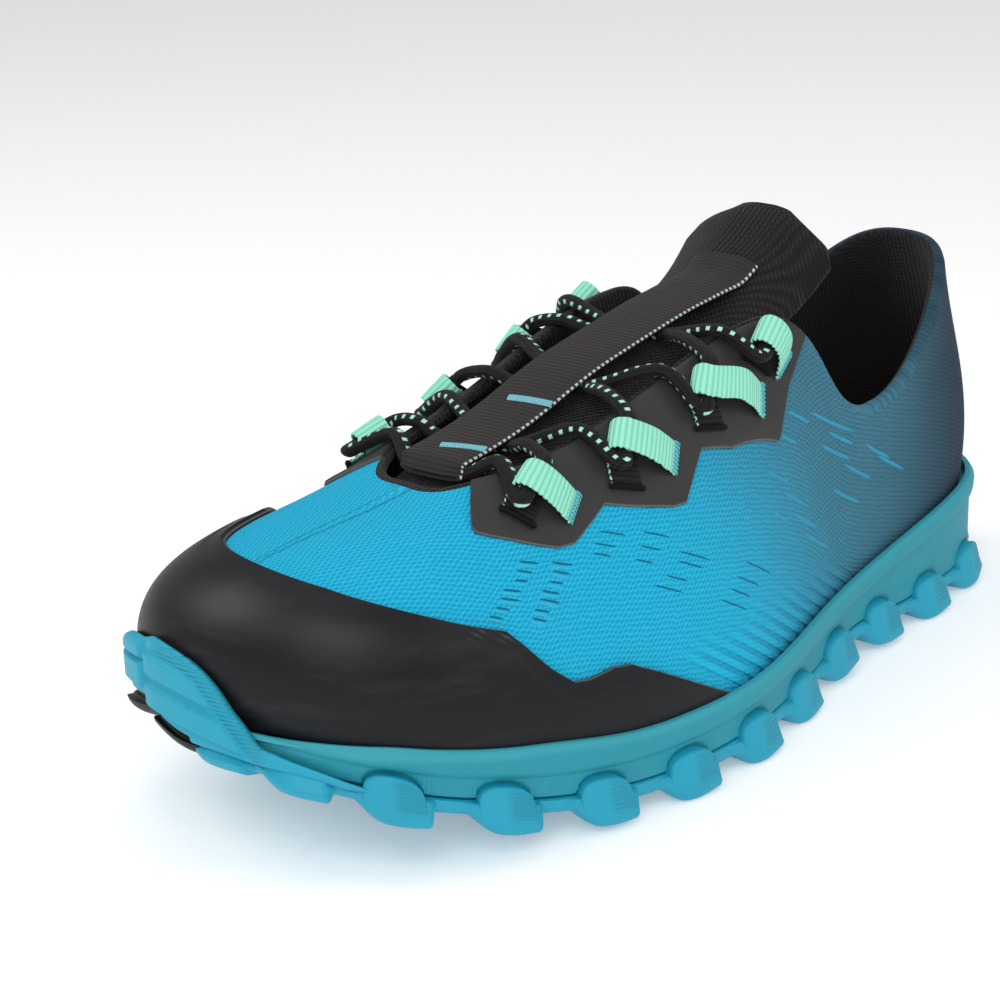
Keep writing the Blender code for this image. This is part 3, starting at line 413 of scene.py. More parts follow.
# Grooves that rise from the midsole on both sides of the waist: slope, distance apart, and the range they cover
RIB_SLOPE = math.radians(34.0)
RIB_PITCH = 3.1
RIB_FROM, RIB_TO = -50.0, -10.0
RIB_TOP = 0.3
# Climb of the knit's middle line over the opening
KNIT_CLIMB = 0.25

# Fade of the knit from blue to slate: its share at one place, and its change for each millimetre to the heel and up;
# and where along the shoe slate turns to navy
FADE_SHARE, FADE_X, FADE_Z = 0.12, 19.0, 55.0
FADE_HEELWARD, FADE_UPWARD = 0.0117, 0.007
NAVY_FROM, NAVY_FULL = 58.0, 118.0

# Soft creases in the upper: place, turn of the crease from level, length, width and depth in millimetres
CreaseRow = namedtuple("CreaseRow", "around up turn length width depth")
CREASES = table_of(
    CreaseRow,
    (133.0, 0.62, 62.0, 20.0, 6.0, -0.55),
    (145.0, 0.66, 70.0, 17.0, 6.5, 0.35),
    (118.0, 0.45, 40.0, 24.0, 8.0, -0.5),
    (104.0, 0.52, 30.0, 26.0, 9.0, 0.45),
    (228.0, 0.62, -62.0, 20.0, 6.0, -0.55),
    (243.0, 0.45, -40.0, 24.0, 8.0, -0.5),
    (70.0, 0.55, 10.0, 22.0, 9.0, -0.7),
    (290.0, 0.55, -10.0, 22.0, 9.0, -0.7),
    (40.0, 0.72, 30.0, 20.0, 7.0, -0.5),
    (320.0, 0.72, -30.0, 20.0, 7.0, -0.5)
)
# Millimetres in one degree around and in the whole way up, near enough for creases and film edges
DEGREE_RUN = 2.4
UP_RUN = 85.0

# Camera and lights
CAMERA_AT = (0.4545, 0.4086, 0.2644)
CAMERA_AIM = (0.0523, 0.0096, 0.0669)
CAMERA_ROLL = -2.31
CAMERA_LENS = 94.9
SKY = 0.42
LightRow = namedtuple("LightRow", "name at aim size power")
LIGHTS = table_of(
    LightRow,
    ("top_softbox", (-0.05, 0.0, 0.95), (0.0, 0.0, 0.05), 0.9, 1.7),
    ("key_softbox", (0.72, 0.62, 0.72), (0.03, 0.0, 0.05), 0.9, 5.8),
    ("left_softbox", (0.55, -0.6, 0.75), (0.05, 0.0, 0.05), 0.7, 3.2),
    ("fill_softbox", (-0.45, 0.85, 0.55), (0.0, 0.0, 0.05), 0.6, 2.0)
)


def station(x):
    """Angle round the shoe on the lateral side at a place along it."""
    return np.arccos(np.clip((EDGE_MIDDLE - x) / EDGE_HALF, -1.0, 1.0))


def ring_spline(knots, values, at):
    """Closed curve through values at the angles in knots: the periodic cubic spline."""
    gap = np.diff(np.append(knots, knots[0] + TURN))
    rise = (np.roll(values, -1) - values) / gap
    count = len(knots)
    row = np.arange(count)
    system = np.zeros((count, count))
    system[row, row] = 2 * (gap + np.roll(gap, 1))
    system[row, (row + 1) % count] = gap
    system[row, row - 1] = np.roll(gap, 1)
    bend = np.linalg.solve(system, 6 * (rise - np.roll(rise, 1)))
    at = np.mod(at, TURN)
    k = np.clip(np.searchsorted(knots, at, "right") - 1, 0, count - 1)
    after = (k + 1) % count
    b = (at - knots[k]) / gap[k]
    a = 1 - b
    curve = (a**3 - a) * bend[k] + (b**3 - b) * bend[after]
    return a * values[k] + b * values[after] + curve * gap[k] ** 2 / 6


def last_column(name, at):
    """One column of the last's table, smooth all round, with each side's own column where it has two."""
    lateral = [getattr(row, name + "_lateral", None) for row in LAST]
    if lateral[0] is None:
        lateral = [getattr(row, name) for row in LAST]
        medial = lateral
    else:
        medial = [getattr(row, name + "_medial") for row in LAST]
    angles = [float(station(row.edge_x)) for row in LAST]
    knots = np.array(angles + [TURN - angle for angle in angles[-2:0:-1]])
    return ring_spline(knots, np.array(lateral + medial[-2:0:-1], float), at)


def open_spline(table, name, key, at):
    """Curve through one column of a table along another: cubic Hermite pieces."""
    places = np.array([getattr(row, key) for row in table], float)
    values = np.array([getattr(row, name) for row in table], float)
    order = np.argsort(places)
    places = places[order]
    values = values[order]
    slope = np.gradient(values, places)
    k = np.clip(np.searchsorted(places, at, "right") - 1, 0, len(places) - 2)
    h = places[k + 1] - places[k]
    t = np.clip((at - places[k]) / h, 0.0, 1.0)
    return ((1 + 2 * t) * (1 - t) ** 2 * values[k] + t * (1 - t) ** 2 * h * slope[k]
            + t**2 * (3 - 2 * t) * values[k + 1] + t**2 * (t - 1) * h * slope[k + 1])


def table_column(table, name, around):
    """Straight-lined curve through one column of a table along its angles."""
    return np.interp(around, [row.around for row in table], [getattr(row, name) for row in table])


def ease(value, low, high):
    """Smooth step from 0 at low to 1 at high."""
    t = np.clip((value - low) / (high - low), 0.0, 1.0)
    return t * t * (3 - 2 * t)


def window(value, start, full, end, gone):
    """Smooth window: 0 up to start, 1 from full to end, and 0 again from gone on."""
    return ease(value, start, full) * (1 - ease(value, end, gone))


def quarter_round(distance, radius):
    """Height of a rounded edge, as a share: a quarter circle that is full at one radius from the edge."""
    return np.sqrt(np.clip(1 - (1 - np.clip(distance / radius, 0, 1)) ** 2, 0, 1))


def toe_spring(x):
    """Lift of the sole towards the toe: a parabola from SPRING_START."""
    return TOE_SPRING * (np.clip(x - SPRING_START, 0, None) / (LAST[-1].edge_x - SPRING_START)) ** 2


def ground(x):
    """Height of the lugs' lower faces: flat under heel and ball, raised at toe, heel end and arch."""
    heel = HEEL_BEVEL * (np.clip(BEVEL_START - x, 0, None) / (BEVEL_START - LAST[0].edge_x)) ** 2
    arch = np.clip((x - ARCH_FROM) / (ARCH_TO - ARCH_FROM), 0, 1)
    return toe_spring(x) + heel + ARCH_RAISE * (0.5 - 0.5 * np.cos(TURN * arch))


def plate_top(x):
    """Upper face of the rubber plate."""
    return ground(x) + LUG_DEPTH + PLATE


def sole_edge(at, out=0.0):
    """Points of the sole's outline moved outwards, with the outward direction."""

    def raw(angle):
        return np.stack([EDGE_MIDDLE - EDGE_HALF * np.cos(angle), last_column("edge", angle)], -1)

    along = unit(raw(at + SLOPE_STEP) - raw(at - SLOPE_STEP))
    outward = np.stack([-along[..., 1], along[..., 0]], -1)
    return raw(at) + np.asarray(out)[..., None] * outward, outward


def rim(at, x):
    """Height of the midsole's top edge."""
    return last_column("rim_z", at) + toe_spring(x)


def wall(at, up):
    """Upper's outer face: at each angle a cubic arc from the sole edge to the opening."""
    foot, outward = sole_edge(at, -FEATHER_INSET)
    outward = np.concatenate([outward, np.zeros_like(outward[..., :1])], -1)
    start = np.concatenate([foot, (rim(at, foot[..., 0]) - FEATHER_DROP)[..., None]], -1)
    end = np.stack([last_column("top_x", at), last_column("top", at), last_column("top_z", at)], -1)
    away = start - end
    away[..., 2] = 0.0
    away = unit(away)
    lean = np.radians(last_column("lean", at))[..., None]
    slope = np.radians(last_column("slope", at))[..., None]
    rise = last_column("rise", at)[..., None]
    reach = last_column("reach", at)[..., None]
    upward = np.array([0.0, 0.0, 1.0])
    leave = start + rise * (np.cos(lean) * upward + np.sin(lean) * outward)
    meet = end + reach * (np.cos(slope) * away - np.sin(slope) * upward)
    t = up[..., None]
    s = 1 - t
    return s**3 * start + 3 * s**2 * t * leave + 3 * s * t**2 * meet + t**3 * end


def on_upper(around, up, lift=0.0):
    """Points lifted off the last's wall, with the wall's outward normal."""
    parts = [np.asarray(value, float) for value in (around, up, lift)]
    around, up, lift = np.broadcast_arrays(*parts)
    at = np.radians(around)
    across = wall(at + SLOPE_STEP, up) - wall(at - SLOPE_STEP, up)
    upward = wall(at, up + SLOPE_STEP) - wall(at, up - SLOPE_STEP)
    normal = unit(np.cross(upward, across))
    return wall(at, up) + lift[..., None] * normal, normal


def side_angle(around):
    """Angle from the heel on either side, 0 at the heel to 180 at the toe."""
    around = np.mod(around, 360.0)
    return np.minimum(around, 360.0 - around)


def relief(around, up):
    """Soft creases of the upper: a sum of stretched bell curves."""
    around = np.mod(around, 360.0)
    height = np.zeros(np.broadcast(around, up).shape)
    for row in CREASES:
        turn = math.radians(row.turn)
        level = (around - row.around) * DEGREE_RUN
        rise = (up - row.up) * UP_RUN
        along = level * math.cos(turn) + rise * math.sin(turn)
        across = rise * math.cos(turn) - level * math.sin(turn)
        height = height + row.depth * np.exp(-((along / row.length) ** 2) - (across / row.width) ** 2)
    return height


def surface(around, up, lift=0.0):
    """Points lifted off the upper with its creases, and the normal."""
    return on_upper(around, up, lift + relief(np.asarray(around, float), np.asarray(up, float)))


def up_at_height(around, height):
    """How far up the wall a height is reached, for each angle; below the sole's edge the wall runs on."""
    levels = np.linspace(-0.1, 0.4, 101)
    z = on_upper(np.asarray(around)[:, None], levels[None, :])[0][..., 2]
    return np.array([np.interp(h, row, levels) for h, row in zip(height, z)])


def tongue_top(x, y):
    """Height of the tongue's upper face: its middle line, tilted, less a power of the distance from it."""
    share = np.abs((y - TONGUE_Y) / open_spline(TONGUE, "half", "x", x))
    middle = open_spline(TONGUE, "z", "x", x) + open_spline(TONGUE, "tilt", "x", x) * (y - TONGUE_Y)
    return middle - open_spline(TONGUE, "drop", "x", x) * share**TONGUE_BEND


def smooth_path(points, steps):
    """Rounded path through a few points (Catmull-Rom), with some steps in each span."""
    points = np.asarray(points, float)
    before = np.vstack([2 * points[0] - points[1], points[:-2], points[-2:-1]])[:len(points) - 1]
    after = np.vstack([points[2:], 2 * points[-1] - points[-2]])
    t = np.linspace(0, 1, steps, endpoint=False)[None, :, None]
    a, b, c, d = before[:, None], points[:-1, None], points[1:, None], after[:, None]
    square = 2 * a - 5 * b + 4 * c - d
    cube = 3 * b - a - 3 * c + d
    curve = b + 0.5 * ((c - a) * t + square * t**2 + cube * t**3)
    return np.vstack([curve.reshape(-1, points.shape[1]), points[-1:]])


def unit(vectors):
    """Vectors at length one."""
    return vectors / np.linalg.norm(vectors, axis=-1, keepdims=True)


def joined(*parts):
    """Arrays of any fitting shapes side by side, as the last axis of one array."""
    return np.stack(np.broadcast_arrays(*parts), -1)


def run_length(points):
    """Distance along a path at each of its points."""
    return np.append(0.0, np.cumsum(np.linalg.norm(np.diff(points, axis=0), axis=1)))


def grid_faces(rows, columns, closed_columns=False, closed_rows=False):
    """Quads of a grid of points, row by row, as an array of four indices each."""
    r = np.arange(rows if closed_rows else rows - 1)[:, None]
    c = np.arange(columns if closed_columns else columns - 1)[None, :]
    after = (r + 1) % rows
    beside = (c + 1) % columns
    quads = joined(r * columns + c, r * columns + beside, after * columns + beside, after * columns + c)
    return quads.reshape(-1, 4).tolist()


def across_faces(start, count):
    """Closes a ring round the shoe with strips that run straight across it."""
    half = count // 2
    faces = [(start, start + 1, start + count - 1), (start + half - 1, start + half, start + half + 1)]
    for i in range(1, half - 1):
        faces.append((start + i, start + i + 1, start + count - i - 1, start + count - i))
    return faces


def capped_rings(count, columns):
    """Faces of closed rings round the shoe, with the first and the last ring closed straight across."""
    ends = across_faces(0, columns) + across_faces((count - 1) * columns, columns)
    return grid_faces(count, columns, closed_columns=True) + ends


def capped_band(count, columns):
    """Faces of a band whose every column is a closed section, with both ends closed."""
    ends = [tuple(r * columns + column for r in range(count)) for column in (0, columns - 1)]
    return grid_faces(count, columns, closed_rows=True) + ends


def tube_faces(sections, sides):
    """Faces of a closed profile carried through several sections, with both ends closed."""
    last = (sections - 1) * sides
    caps = [tuple(range(sides)), tuple(last + i for i in range(sides))]
    return grid_faces(sections, sides, closed_columns=True) + caps


def repeated(faces, count, size):
    """The same faces for several copies of a shape that follow each other in the vertex list."""
    return [tuple(k * size + i for i in face) for k in range(count) for face in faces]


def add_piece(name, points, faces, materials, attributes=(), picks=None, sharp=50.0):
    """Mesh piece in the frame, riding on the shoe.

    Attributes are three numbers for each point, picks choose each face's material, and edges that bend by more than
    sharp degrees stay sharp.
    """
    mesh = bpy.data.meshes.new(name)
    places = (np.asarray(points, float).reshape(-1, 3) + LAST_SHIFT) * MM
    mesh.from_pydata(places.tolist(), [], faces)
    for key, values in dict(attributes).items():
        layer = mesh.attributes.new(key, "FLOAT_VECTOR", "POINT")
        layer.data.foreach_set("vector", np.asarray(values, np.float32).ravel())
    for material in materials:
        mesh.materials.append(material)
    if picks is not None:
        mesh.polygons.foreach_set("material_index", np.asarray(picks, np.int32))
    mesh.update()
    piece = bpy.data.objects.new(name, mesh)
    bpy.context.scene.collection.objects.link(piece)
    turn_outwards(mesh)
    mesh.shade_smooth()
    mesh.set_sharp_from_angle(angle=math.radians(sharp))
    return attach(piece, "root")


def turn_outwards(mesh):
    """Makes all faces of each closed shell point outwards."""
    shape = bmesh.new()
    shape.from_mesh(mesh)
    bmesh.ops.recalc_face_normals(shape, faces=shape.faces)
    shape.to_mesh(mesh)
    shape.free()


class Value:
    """A number in a shader; arithmetic on it adds Math nodes."""

    def __init__(self, paint, socket):
        self.paint = paint
        self.socket = socket

    def math(self, operation, *others):
        """One Math node on this number and others."""
        return self.paint.out("ShaderNodeMath", {"operation": operation}, dict(enumerate((self, *others))))

    def __add__(self, other):
        return self.math("ADD", other)

    def __sub__(self, other):
        return self.math("SUBTRACT", other)

    def __rsub__(self, other):
        return self.paint.out("ShaderNodeMath", {"operation": "SUBTRACT"}, {0: other, 1: self})

    def __mul__(self, other):
        return self.math("MULTIPLY", other)

    __radd__ = __add__
    __rmul__ = __mul__


class Paint:
    """One material: its nodes, and the Principled shader that they feed."""

    def __init__(self, name):
        self.material = bpy.data.materials.new(name)
        self.material.use_nodes = True
        self.tree = self.material.node_tree
        self.shader = self.tree.nodes["Principled BSDF"]

    def node(self, kind, settings=None, inputs=None):
        """One node of any type: its settings first, then the values or links of its sockets."""
        made = self.tree.nodes.new(kind)
        for key, value in (settings or {}).items():
            setattr(made, key, value)
        for key, value in (inputs or {}).items():
            self.put(made.inputs[key], value)
        return made

    def put(self, socket, value):
        """Links a socket to a shader value, or sets its number, colour or vector."""
        if isinstance(value, Value):
            self.tree.links.new(value.socket, socket)
        elif socket.type == "RGBA":
            socket.default_value = (*value[:3], 1.0)
        else:
            socket.default_value = value

    def out(self, kind, settings=None, inputs=None, output=0):
        """One output of a new node."""
        return Value(self, self.node(kind, settings, inputs).outputs[output])

    def attribute(self, name):
        """The piece's own attribute as three numbers."""
        vector = self.out("ShaderNodeAttribute", {"attribute_name": name}, output=1)
        parts = self.node("ShaderNodeSeparateXYZ", inputs={0: vector})
        return [Value(self, parts.outputs[i]) for i in range(3)]

    def place(self):
        """Object coordinates, as a vector and as three numbers in millimetres."""
        vector = self.out("ShaderNodeTexCoord", output=3)
        parts = self.node("ShaderNodeSeparateXYZ", inputs={0: vector})
        return vector, [Value(self, parts.outputs[i]) * (1 / MM) for i in range(3)]

    def vector(self, x, y, z=0.0):
        """Vector from three numbers."""
        return self.out("ShaderNodeCombineXYZ", inputs={0: x, 1: y, 2: z})

    def noise(self, vector, scale, detail=2.0, roughness=0.5):
        """Soft random field from 0 to 1."""
        inputs = {"Vector": vector, "Scale": scale, "Detail": detail, "Roughness": roughness}
        return self.out("ShaderNodeTexNoise", inputs=inputs)

    def step(self, value, low, high):
        """Smooth step from 0 at low to 1 at high."""
        inputs = {0: value, 1: low, 2: high, 3: 0.0, 4: 1.0}
        return self.out("ShaderNodeMapRange", {"interpolation_type": "SMOOTHSTEP"}, inputs)

    def wave(self, value, pitch):
        """Cosine of a length, one full wave in each pitch."""
        return (value * (TURN / pitch)).math("COSINE")

    def mix(self, factor, first, second):
        """Colour between two colours."""
        return self.out("ShaderNodeMix", {"data_type": "RGBA"}, {0: factor, 6: first, 7: second}, output=2)

    def bump(self, height, depth, strength=1.0):
        """Normal from a height field; depth is in millimetres for a height of one."""
        inputs = {"Height": height, "Distance": depth * MM, "Strength": strength}
        return self.out("ShaderNodeBump", inputs=inputs)

    def finish(self, **sockets):
        """Feeds the shader's sockets by name and returns the material."""
        for key, value in sockets.items():
            self.put(self.shader.inputs[key.replace("_", " ").title().replace("Ior", "IOR")], value)
        return self.material


def look():
    """The colours that a user may change."""
    return bpy.context.scene.shoe_colours


def knit_pitch():
    """Distance between the pits of the knit, in millimetres."""
    return bpy.context.scene.shoe_sizes.knit_pitch / MM


def knit_paint():
    """Staggered knit: the product of two cosines sinks pits, darker partly as yarn tone and partly as painted shade,
    and the yarn fades from blue to slate to navy.

    Grooves are the crests of a cosine across them, kept to the waist by smooth steps.
    """
    paint = Paint("knit")
    u, v, fade = paint.attribute("knit")
    rib, rise, rear = paint.attribute("ribs")
    pitch = knit_pitch()
    spot = paint.vector(u, v)
    drift = paint.noise(spot, 0.3, 1.0) - 0.5
    lattice = paint.wave(u + drift * 0.9, pitch * 2) * paint.wave(v + drift * 0.7, pitch)
    fibre = paint.noise(spot, 2.6, 3.0, 0.7)
    cloud = paint.noise(spot, 0.07, 2.0)
    waist = paint.step(rib, RIB_FROM - 1, RIB_FROM) * (1 - paint.step(rib, RIB_TO, RIB_TO + 1))
    waist = waist * (1 - paint.step(rise + (cloud - 0.5) * 0.16, RIB_TOP - 0.2, RIB_TOP))
    crest = paint.wave(rib, RIB_PITCH)
    groove = paint.step(crest, -0.15, 0.95) * waist
    end = paint.step(crest, 0.3, 0.8) * waist * (1 - paint.step(rise, 0.02, 0.035))
    pits = paint.step(lattice + (fibre - 0.5) * 1.0, -0.7, 1.0) * (1 - waist * 0.5)
    shade = paint.step(fade + (cloud - 0.5) * 0.12, 0.0, 1.0)
    colours = look()
    low = paint.mix(rear, paint.mix(shade, colours.knit_low, colours.slate_low), colours.navy_low)
    high = paint.mix(rear, paint.mix(shade, colours.knit_high, colours.slate_high), colours.navy_high)
    # Darker pits: partly the yarn's own tone, partly painted shade in them
    colour = paint.mix(pits * 0.62 + (fibre - 0.5) * 0.4, high, low)
    colour = paint.mix(groove * 0.42 + end * 0.4, colour, colours.slit)
    height = fibre * 0.35 - pits - groove * 1.5
    return paint.finish(base_color=colour, roughness=0.85, normal=paint.bump(height, 0.3),
                        sheen_weight=0.03, sheen_roughness=0.5, specular_ior_level=0.08)


def lining_paint(name, pitch):
    """Black cloth with a fine staggered weave."""
    paint = Paint(name)
    vector, (x, y, z) = paint.place()
    weave = paint.wave(x + z * 0.4, pitch) * paint.wave(y + z * 0.7, pitch)
    fuzz = paint.noise(vector, 900.0, 3.0, 0.6)
    colour = paint.mix(paint.step(weave, -0.2, 0.8) * (0.5 + fuzz), look().black_low, look().black_high)
    return paint.finish(base_color=colour, roughness=0.85, normal=paint.bump(weave * 0.6 + fuzz, 0.22),
                        sheen_weight=0.1, specular_ior_level=0.2)


def film_paint(name, colour, coarse, gloss, shine):
    """Bonded film: satin, rubbed in streaks, with the knit faintly through it, a painted highlight on its crown and a
    pale cut edge, partly painted highlight.
    """
    paint = Paint(name)
    vector, (x, y, z) = paint.place()
    edge, show, highlight = paint.attribute("film")
    grain = paint.noise(vector, 1500.0, 2.0, 0.6)
    cloud = paint.noise(vector, 45.0, 3.0, 0.6)
    rub = paint.noise(paint.vector(x * 0.02 + y * 0.01, y * 0.03, z * 0.13), 1.0, 5.0, 0.7)
    rub = paint.step(rub, 0.48, 0.78)
    pitch = knit_pitch()
    under = paint.wave(x, pitch * 2) * paint.wave(y + z * 0.8, pitch) * coarse
    line = 1 - paint.step(edge, 0.2, 0.5)
    shade = paint.mix(cloud, [c * 0.75 for c in colour], [c * 1.25 for c in colour])
    # Paler towards one pale colour: the line along the cut edge (partly a painted highlight), the knit marks, rubbed
    # streaks and the painted highlight on the crown
    shade = paint.mix(line * 0.45 + show * 0.3 + rub * 0.07 + highlight * (0.1 + cloud * 0.12), shade, look().film_edge)
    rough = gloss + cloud * 0.14 + grain * 0.05 + rub * 0.12
    height = under + grain * 0.25 + cloud * 0.6 + show * 1.5
    return paint.finish(base_color=shade, roughness=rough, normal=paint.bump(height, 0.1), specular_ior_level=shine)


def foam_paint():
    """Moulded foam: fine skin grain, pale scuffs, a painted highlight along its top band, and faint upright ribs in
    patches on the lower band.
    """
    paint = Paint("foam")
    vector, _ = paint.place()
    run, level, _ = paint.attribute("side")
    grain = paint.noise(vector, 1800.0, 2.0, 0.6)
    cloud = paint.noise(vector, 28.0, 3.0, 0.55)
    patch = paint.step(paint.noise(paint.vector(run, level * 2.0), 0.045, 1.0), 0.4, 0.6)
    ribs = paint.wave(run, 1.1) * (0.15 + patch) * (1 - paint.step(level, 0.0, 2.5))
    colours = look()
    shade = paint.mix(cloud, colours.foam_low, colours.foam_high)
    shade = paint.mix(paint.step(paint.noise(vector, 90.0, 4.0, 0.7), 0.6, 0.85) * 0.25, shade, colours.foam_scuff_and_highlight)
    # Painted highlight: the top of the side, under the rim, turns paler
    shade = paint.mix(paint.step(level, 3.6, 5.6) * 0.5, shade, colours.foam_scuff_and_highlight)
    return paint.finish(base_color=shade, roughness=0.52 + cloud * 0.12,
                        normal=paint.bump(ribs * 0.25 + grain * 0.35, 0.12), specular_ior_level=0.35)


def rubber_paint(name):
    """Moulded rubber: satin skin, with fine level ridges where the mould has them and a dark underside at the toe."""
    paint = Paint(name)
    vector, _ = paint.place()
    ridge, run, dark = paint.attribute("rubber")
    grain = paint.noise(vector, 1500.0, 2.0, 0.6)
    cloud = paint.noise(vector, 35.0, 3.0, 0.55)
    lines = paint.wave(run, 0.95) * ridge
    colours = look()
    shade = paint.mix(cloud, colours.rubber_low, colours.rubber_high)
    shade = paint.mix(lines * 0.12, shade, colours.foam_scuff_and_highlight)
    shade = paint.mix(paint.step(dark, 0.4, 0.6), shade, colours.black_low)
    return paint.finish(base_color=shade, roughness=0.46 + cloud * 0.14,
                        normal=paint.bump(lines + grain * 0.25, 0.16), specular_ior_level=0.4)


def webbing_paint(name, outer, inner, border, rib, contrast):
    """Ribbed webbing: ribs across its length, one colour on each face, and a stitched line along one edge.

    border gives the line's colour and which face carries it, 1 for the outer and 0 for the inner one.
    """
    paint = Paint(name)
    run, across, side = paint.attribute("web")
    ribs = paint.wave(run, rib)
    yarn = paint.noise(paint.vector(run * 0.6, across * 12.0), 1.6, 3.0, 0.7)
    face = paint.step(side, -0.1, 0.1)
    colour = paint.mix(face, inner, outer)
    dark = paint.mix(face, [c * 0.4 for c in inner], [c * contrast for c in outer])
    line_colour, line_face = border
    carries = face if line_face else 1 - face
    dash = paint.step(paint.wave(run, 1.6), -0.4, 0.1)
    line = paint.step(across, 0.935, 0.965) * carries * dash
    colour = paint.mix(paint.step(ribs, -0.9, 0.1) * (0.55 + yarn * 0.7), dark, colour)
    colour = paint.mix(line, colour, line_colour)
    return paint.finish(base_color=colour, roughness=0.75, normal=paint.bump(ribs * 0.6 + yarn * 0.5, 0.13),
                        sheen_weight=0.05, specular_ior_level=0.2)


def lace_paint():
    """Braided cord: crossing yarns, and rows of small pale specks that wind slowly round it."""
    paint = Paint("cord")
    run, level, turned = paint.attribute("braid")
    twist = run * 0.06 + 0.6
    facing = level * twist.math("COSINE") + turned * twist.math("SINE")
    row = paint.step(facing.math("ABSOLUTE"), 0.9, 0.96)
    specks = paint.step(paint.wave(run + facing * 0.65, 2.6), 0.25, 0.6)
    yarn = paint.wave(run + level * 1.3, 1.1) * paint.wave(run - turned * 1.3, 1.1)
    fuzz = paint.noise(paint.vector(run, level * 2.0, turned * 2.0), 2.5, 3.0, 0.6)
    spot = row * specks
    base = paint.mix(paint.step(yarn, -0.3, 0.7) * (0.5 + fuzz), look().black_low, look().black_high)
    colour = paint.mix(spot, base, look().mint_pale)
    height = yarn * 0.5 + spot * 0.9 + fuzz * 0.3
    return paint.finish(base_color=colour, roughness=0.75, normal=paint.bump(height, 0.22),
                        sheen_weight=0.05, specular_ior_level=0.2)


def thread_paint(name, colour):
    """Stitching yarn with a light sheen."""
    paint = Paint(name)
    vector, _ = paint.place()
    fibre = paint.noise(vector, 2600.0, 3.0, 0.6)
    shade = paint.mix(fibre, [c * 0.55 for c in colour], [min(1.0, c * 1.2) for c in colour])
    return paint.finish(base_color=shade, roughness=0.7, normal=paint.bump(fibre, 0.12), sheen_weight=0.02,
                        specular_ior_level=0.12)


def floor_paint():
    """Pale matt floor with a faint glow of its own, as on a lit table."""
    paint = Paint("floor")
    vector, _ = paint.place()
    cloud = paint.noise(vector, 3.0, 2.0)
    return paint.finish(base_color=paint.mix(cloud, (0.88, 0.88, 0.88), (0.91, 0.91, 0.91)), roughness=0.8,
                        specular_ior_level=0.1, emission_color=(1.0, 1.0, 1.0), emission_strength=0.26)


def wall_thickness(around, up):
    """Wall of the upper: thin knit, padded towards the collar."""
    collar = np.clip(2.5 * np.cos(np.radians(around)) - 0.25, 0, 1)
    return WALL + COLLAR_PAD * collar * ease(up, PAD_FROM, PAD_FULL)


def knit_coordinates(points):
    """Lengths on the knit from a grid of rows up the wall: along the shoe, and across it down from the middle.

    For each half of the shoe the cross-section through a point is rebuilt from where every row passes that place
    along the shoe. The distance down is the length of its chords above the point, and the straight way from the
    uppermost of them to a middle line: the toe's, and behind it a line that climbs evenly over the opening.
    """
    rows, columns, _ = points.shape
    half = columns // 2
    toe = points[:, half]
    order = np.argsort(toe[:, 0])
    throat = toe[order[0]]
    down = np.zeros((rows, columns))
    level = np.arange(rows)
    for index in (np.arange(half + 1), (-np.arange(half + 1)) % columns):
        side = points[:, index]
        place = side[..., 0]
        x = np.maximum.accumulate(place, axis=1)
        spots = np.stack([np.stack([np.interp(place, x[k], side[k, :, axis]) for axis in (1, 2)], -1)
                          for k in range(rows)])
        reached = x[:, -1][:, None, None] >= place[None]
        top = np.where(reached, level[:, None, None], 0).max(0)
        chord = np.linalg.norm(np.diff(spots, axis=0), axis=-1)
        counted = (level[:-1, None, None] >= level[None, :, None]) & (level[:-1, None, None] < top[None])
        ridge = np.stack([np.interp(place, toe[order, 0], toe[order, axis]) for axis in (1, 2)], -1)
        ridge[..., 1] += KNIT_CLIMB * np.clip(throat[0] - place, 0, None)
        last = np.take_along_axis(spots, top[None, ..., None], axis=0)[0]
        down[:, index] = (chord * counted).sum(0) + np.linalg.norm(ridge - last, axis=-1)
    arc = run_length(toe[order][:, [0, 2]])
    along = np.where(points[..., 0] > throat[0], throat[0] + np.interp(points[..., 0], toe[order, 0], arc),
                     points[..., 0])
    return along, down


def make_upper():
    """Upper: outer face, rounded rim and lining, as one closed wall round the shoe."""
    columns, outer_rows, rim_rows, inner_rows = 720, 58, 7, 22
    around = np.linspace(0, 360, columns, endpoint=False)[None, :]
    length = np.linalg.norm(np.diff(on_upper(around, np.linspace(0, 1, 33)[:, None])[0], axis=0), axis=-1).sum(0)
    top = 1 - 0.5 * wall_thickness(around, 1.0) / length
    up = np.linspace(0, 1, outer_rows)[:, None] * top
    outer, normal = surface(around, up)
    thick = wall_thickness(around, up)
    edge_up = unit(outer[-1] - outer[-2])
    turn = np.linspace(0, math.pi, rim_rows + 2)[1:-1][:, None, None]
    radius = thick[-1][:, None] / 2
    middle = outer[-1] - normal[-1] * radius
    roll = middle + radius * (np.cos(turn) * normal[-1] + np.sin(turn) * edge_up)
    down = np.linspace(1, 0, inner_rows)[:, None] * top
    inner, inner_normal = on_upper(around, down)
    inner = inner - wall_thickness(around, down)[..., None] * inner_normal
    points = np.concatenate([outer, roll, inner])
    total = len(points)
    faces = grid_faces(total, columns, closed_columns=True, closed_rows=True)
    row = np.arange(total)[:, None]
    throat = side_angle(around) > EYESTAY_EDGE[0].around
    lined = np.where(throat, row >= outer_rows - 2, row >= outer_rows + rim_rows - 3).astype(int).ravel()
    along, across = knit_coordinates(outer)
    x, z = outer[..., 0], outer[..., 2]
    fade = FADE_SHARE + (FADE_X - x) * FADE_HEELWARD + (z - FADE_Z) * FADE_UPWARD
    rib = x * math.sin(RIB_SLOPE) - z * math.cos(RIB_SLOPE)
    extra = total - outer_rows
    knit = np.stack([along, across, fade], -1)
    ribs = np.stack([rib, up, ease(-x, NAVY_FROM, NAVY_FULL)], -1)
    attributes = {key: np.concatenate([part, np.repeat(part[-1:], extra, 0)])
                  for key, part in (("knit", knit), ("ribs", ribs))}
    piece = add_piece("knit_upper", points, faces, [knit_paint(), lining_paint("lining", 1.3)], attributes, lined)
    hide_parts("upper")
    return piece


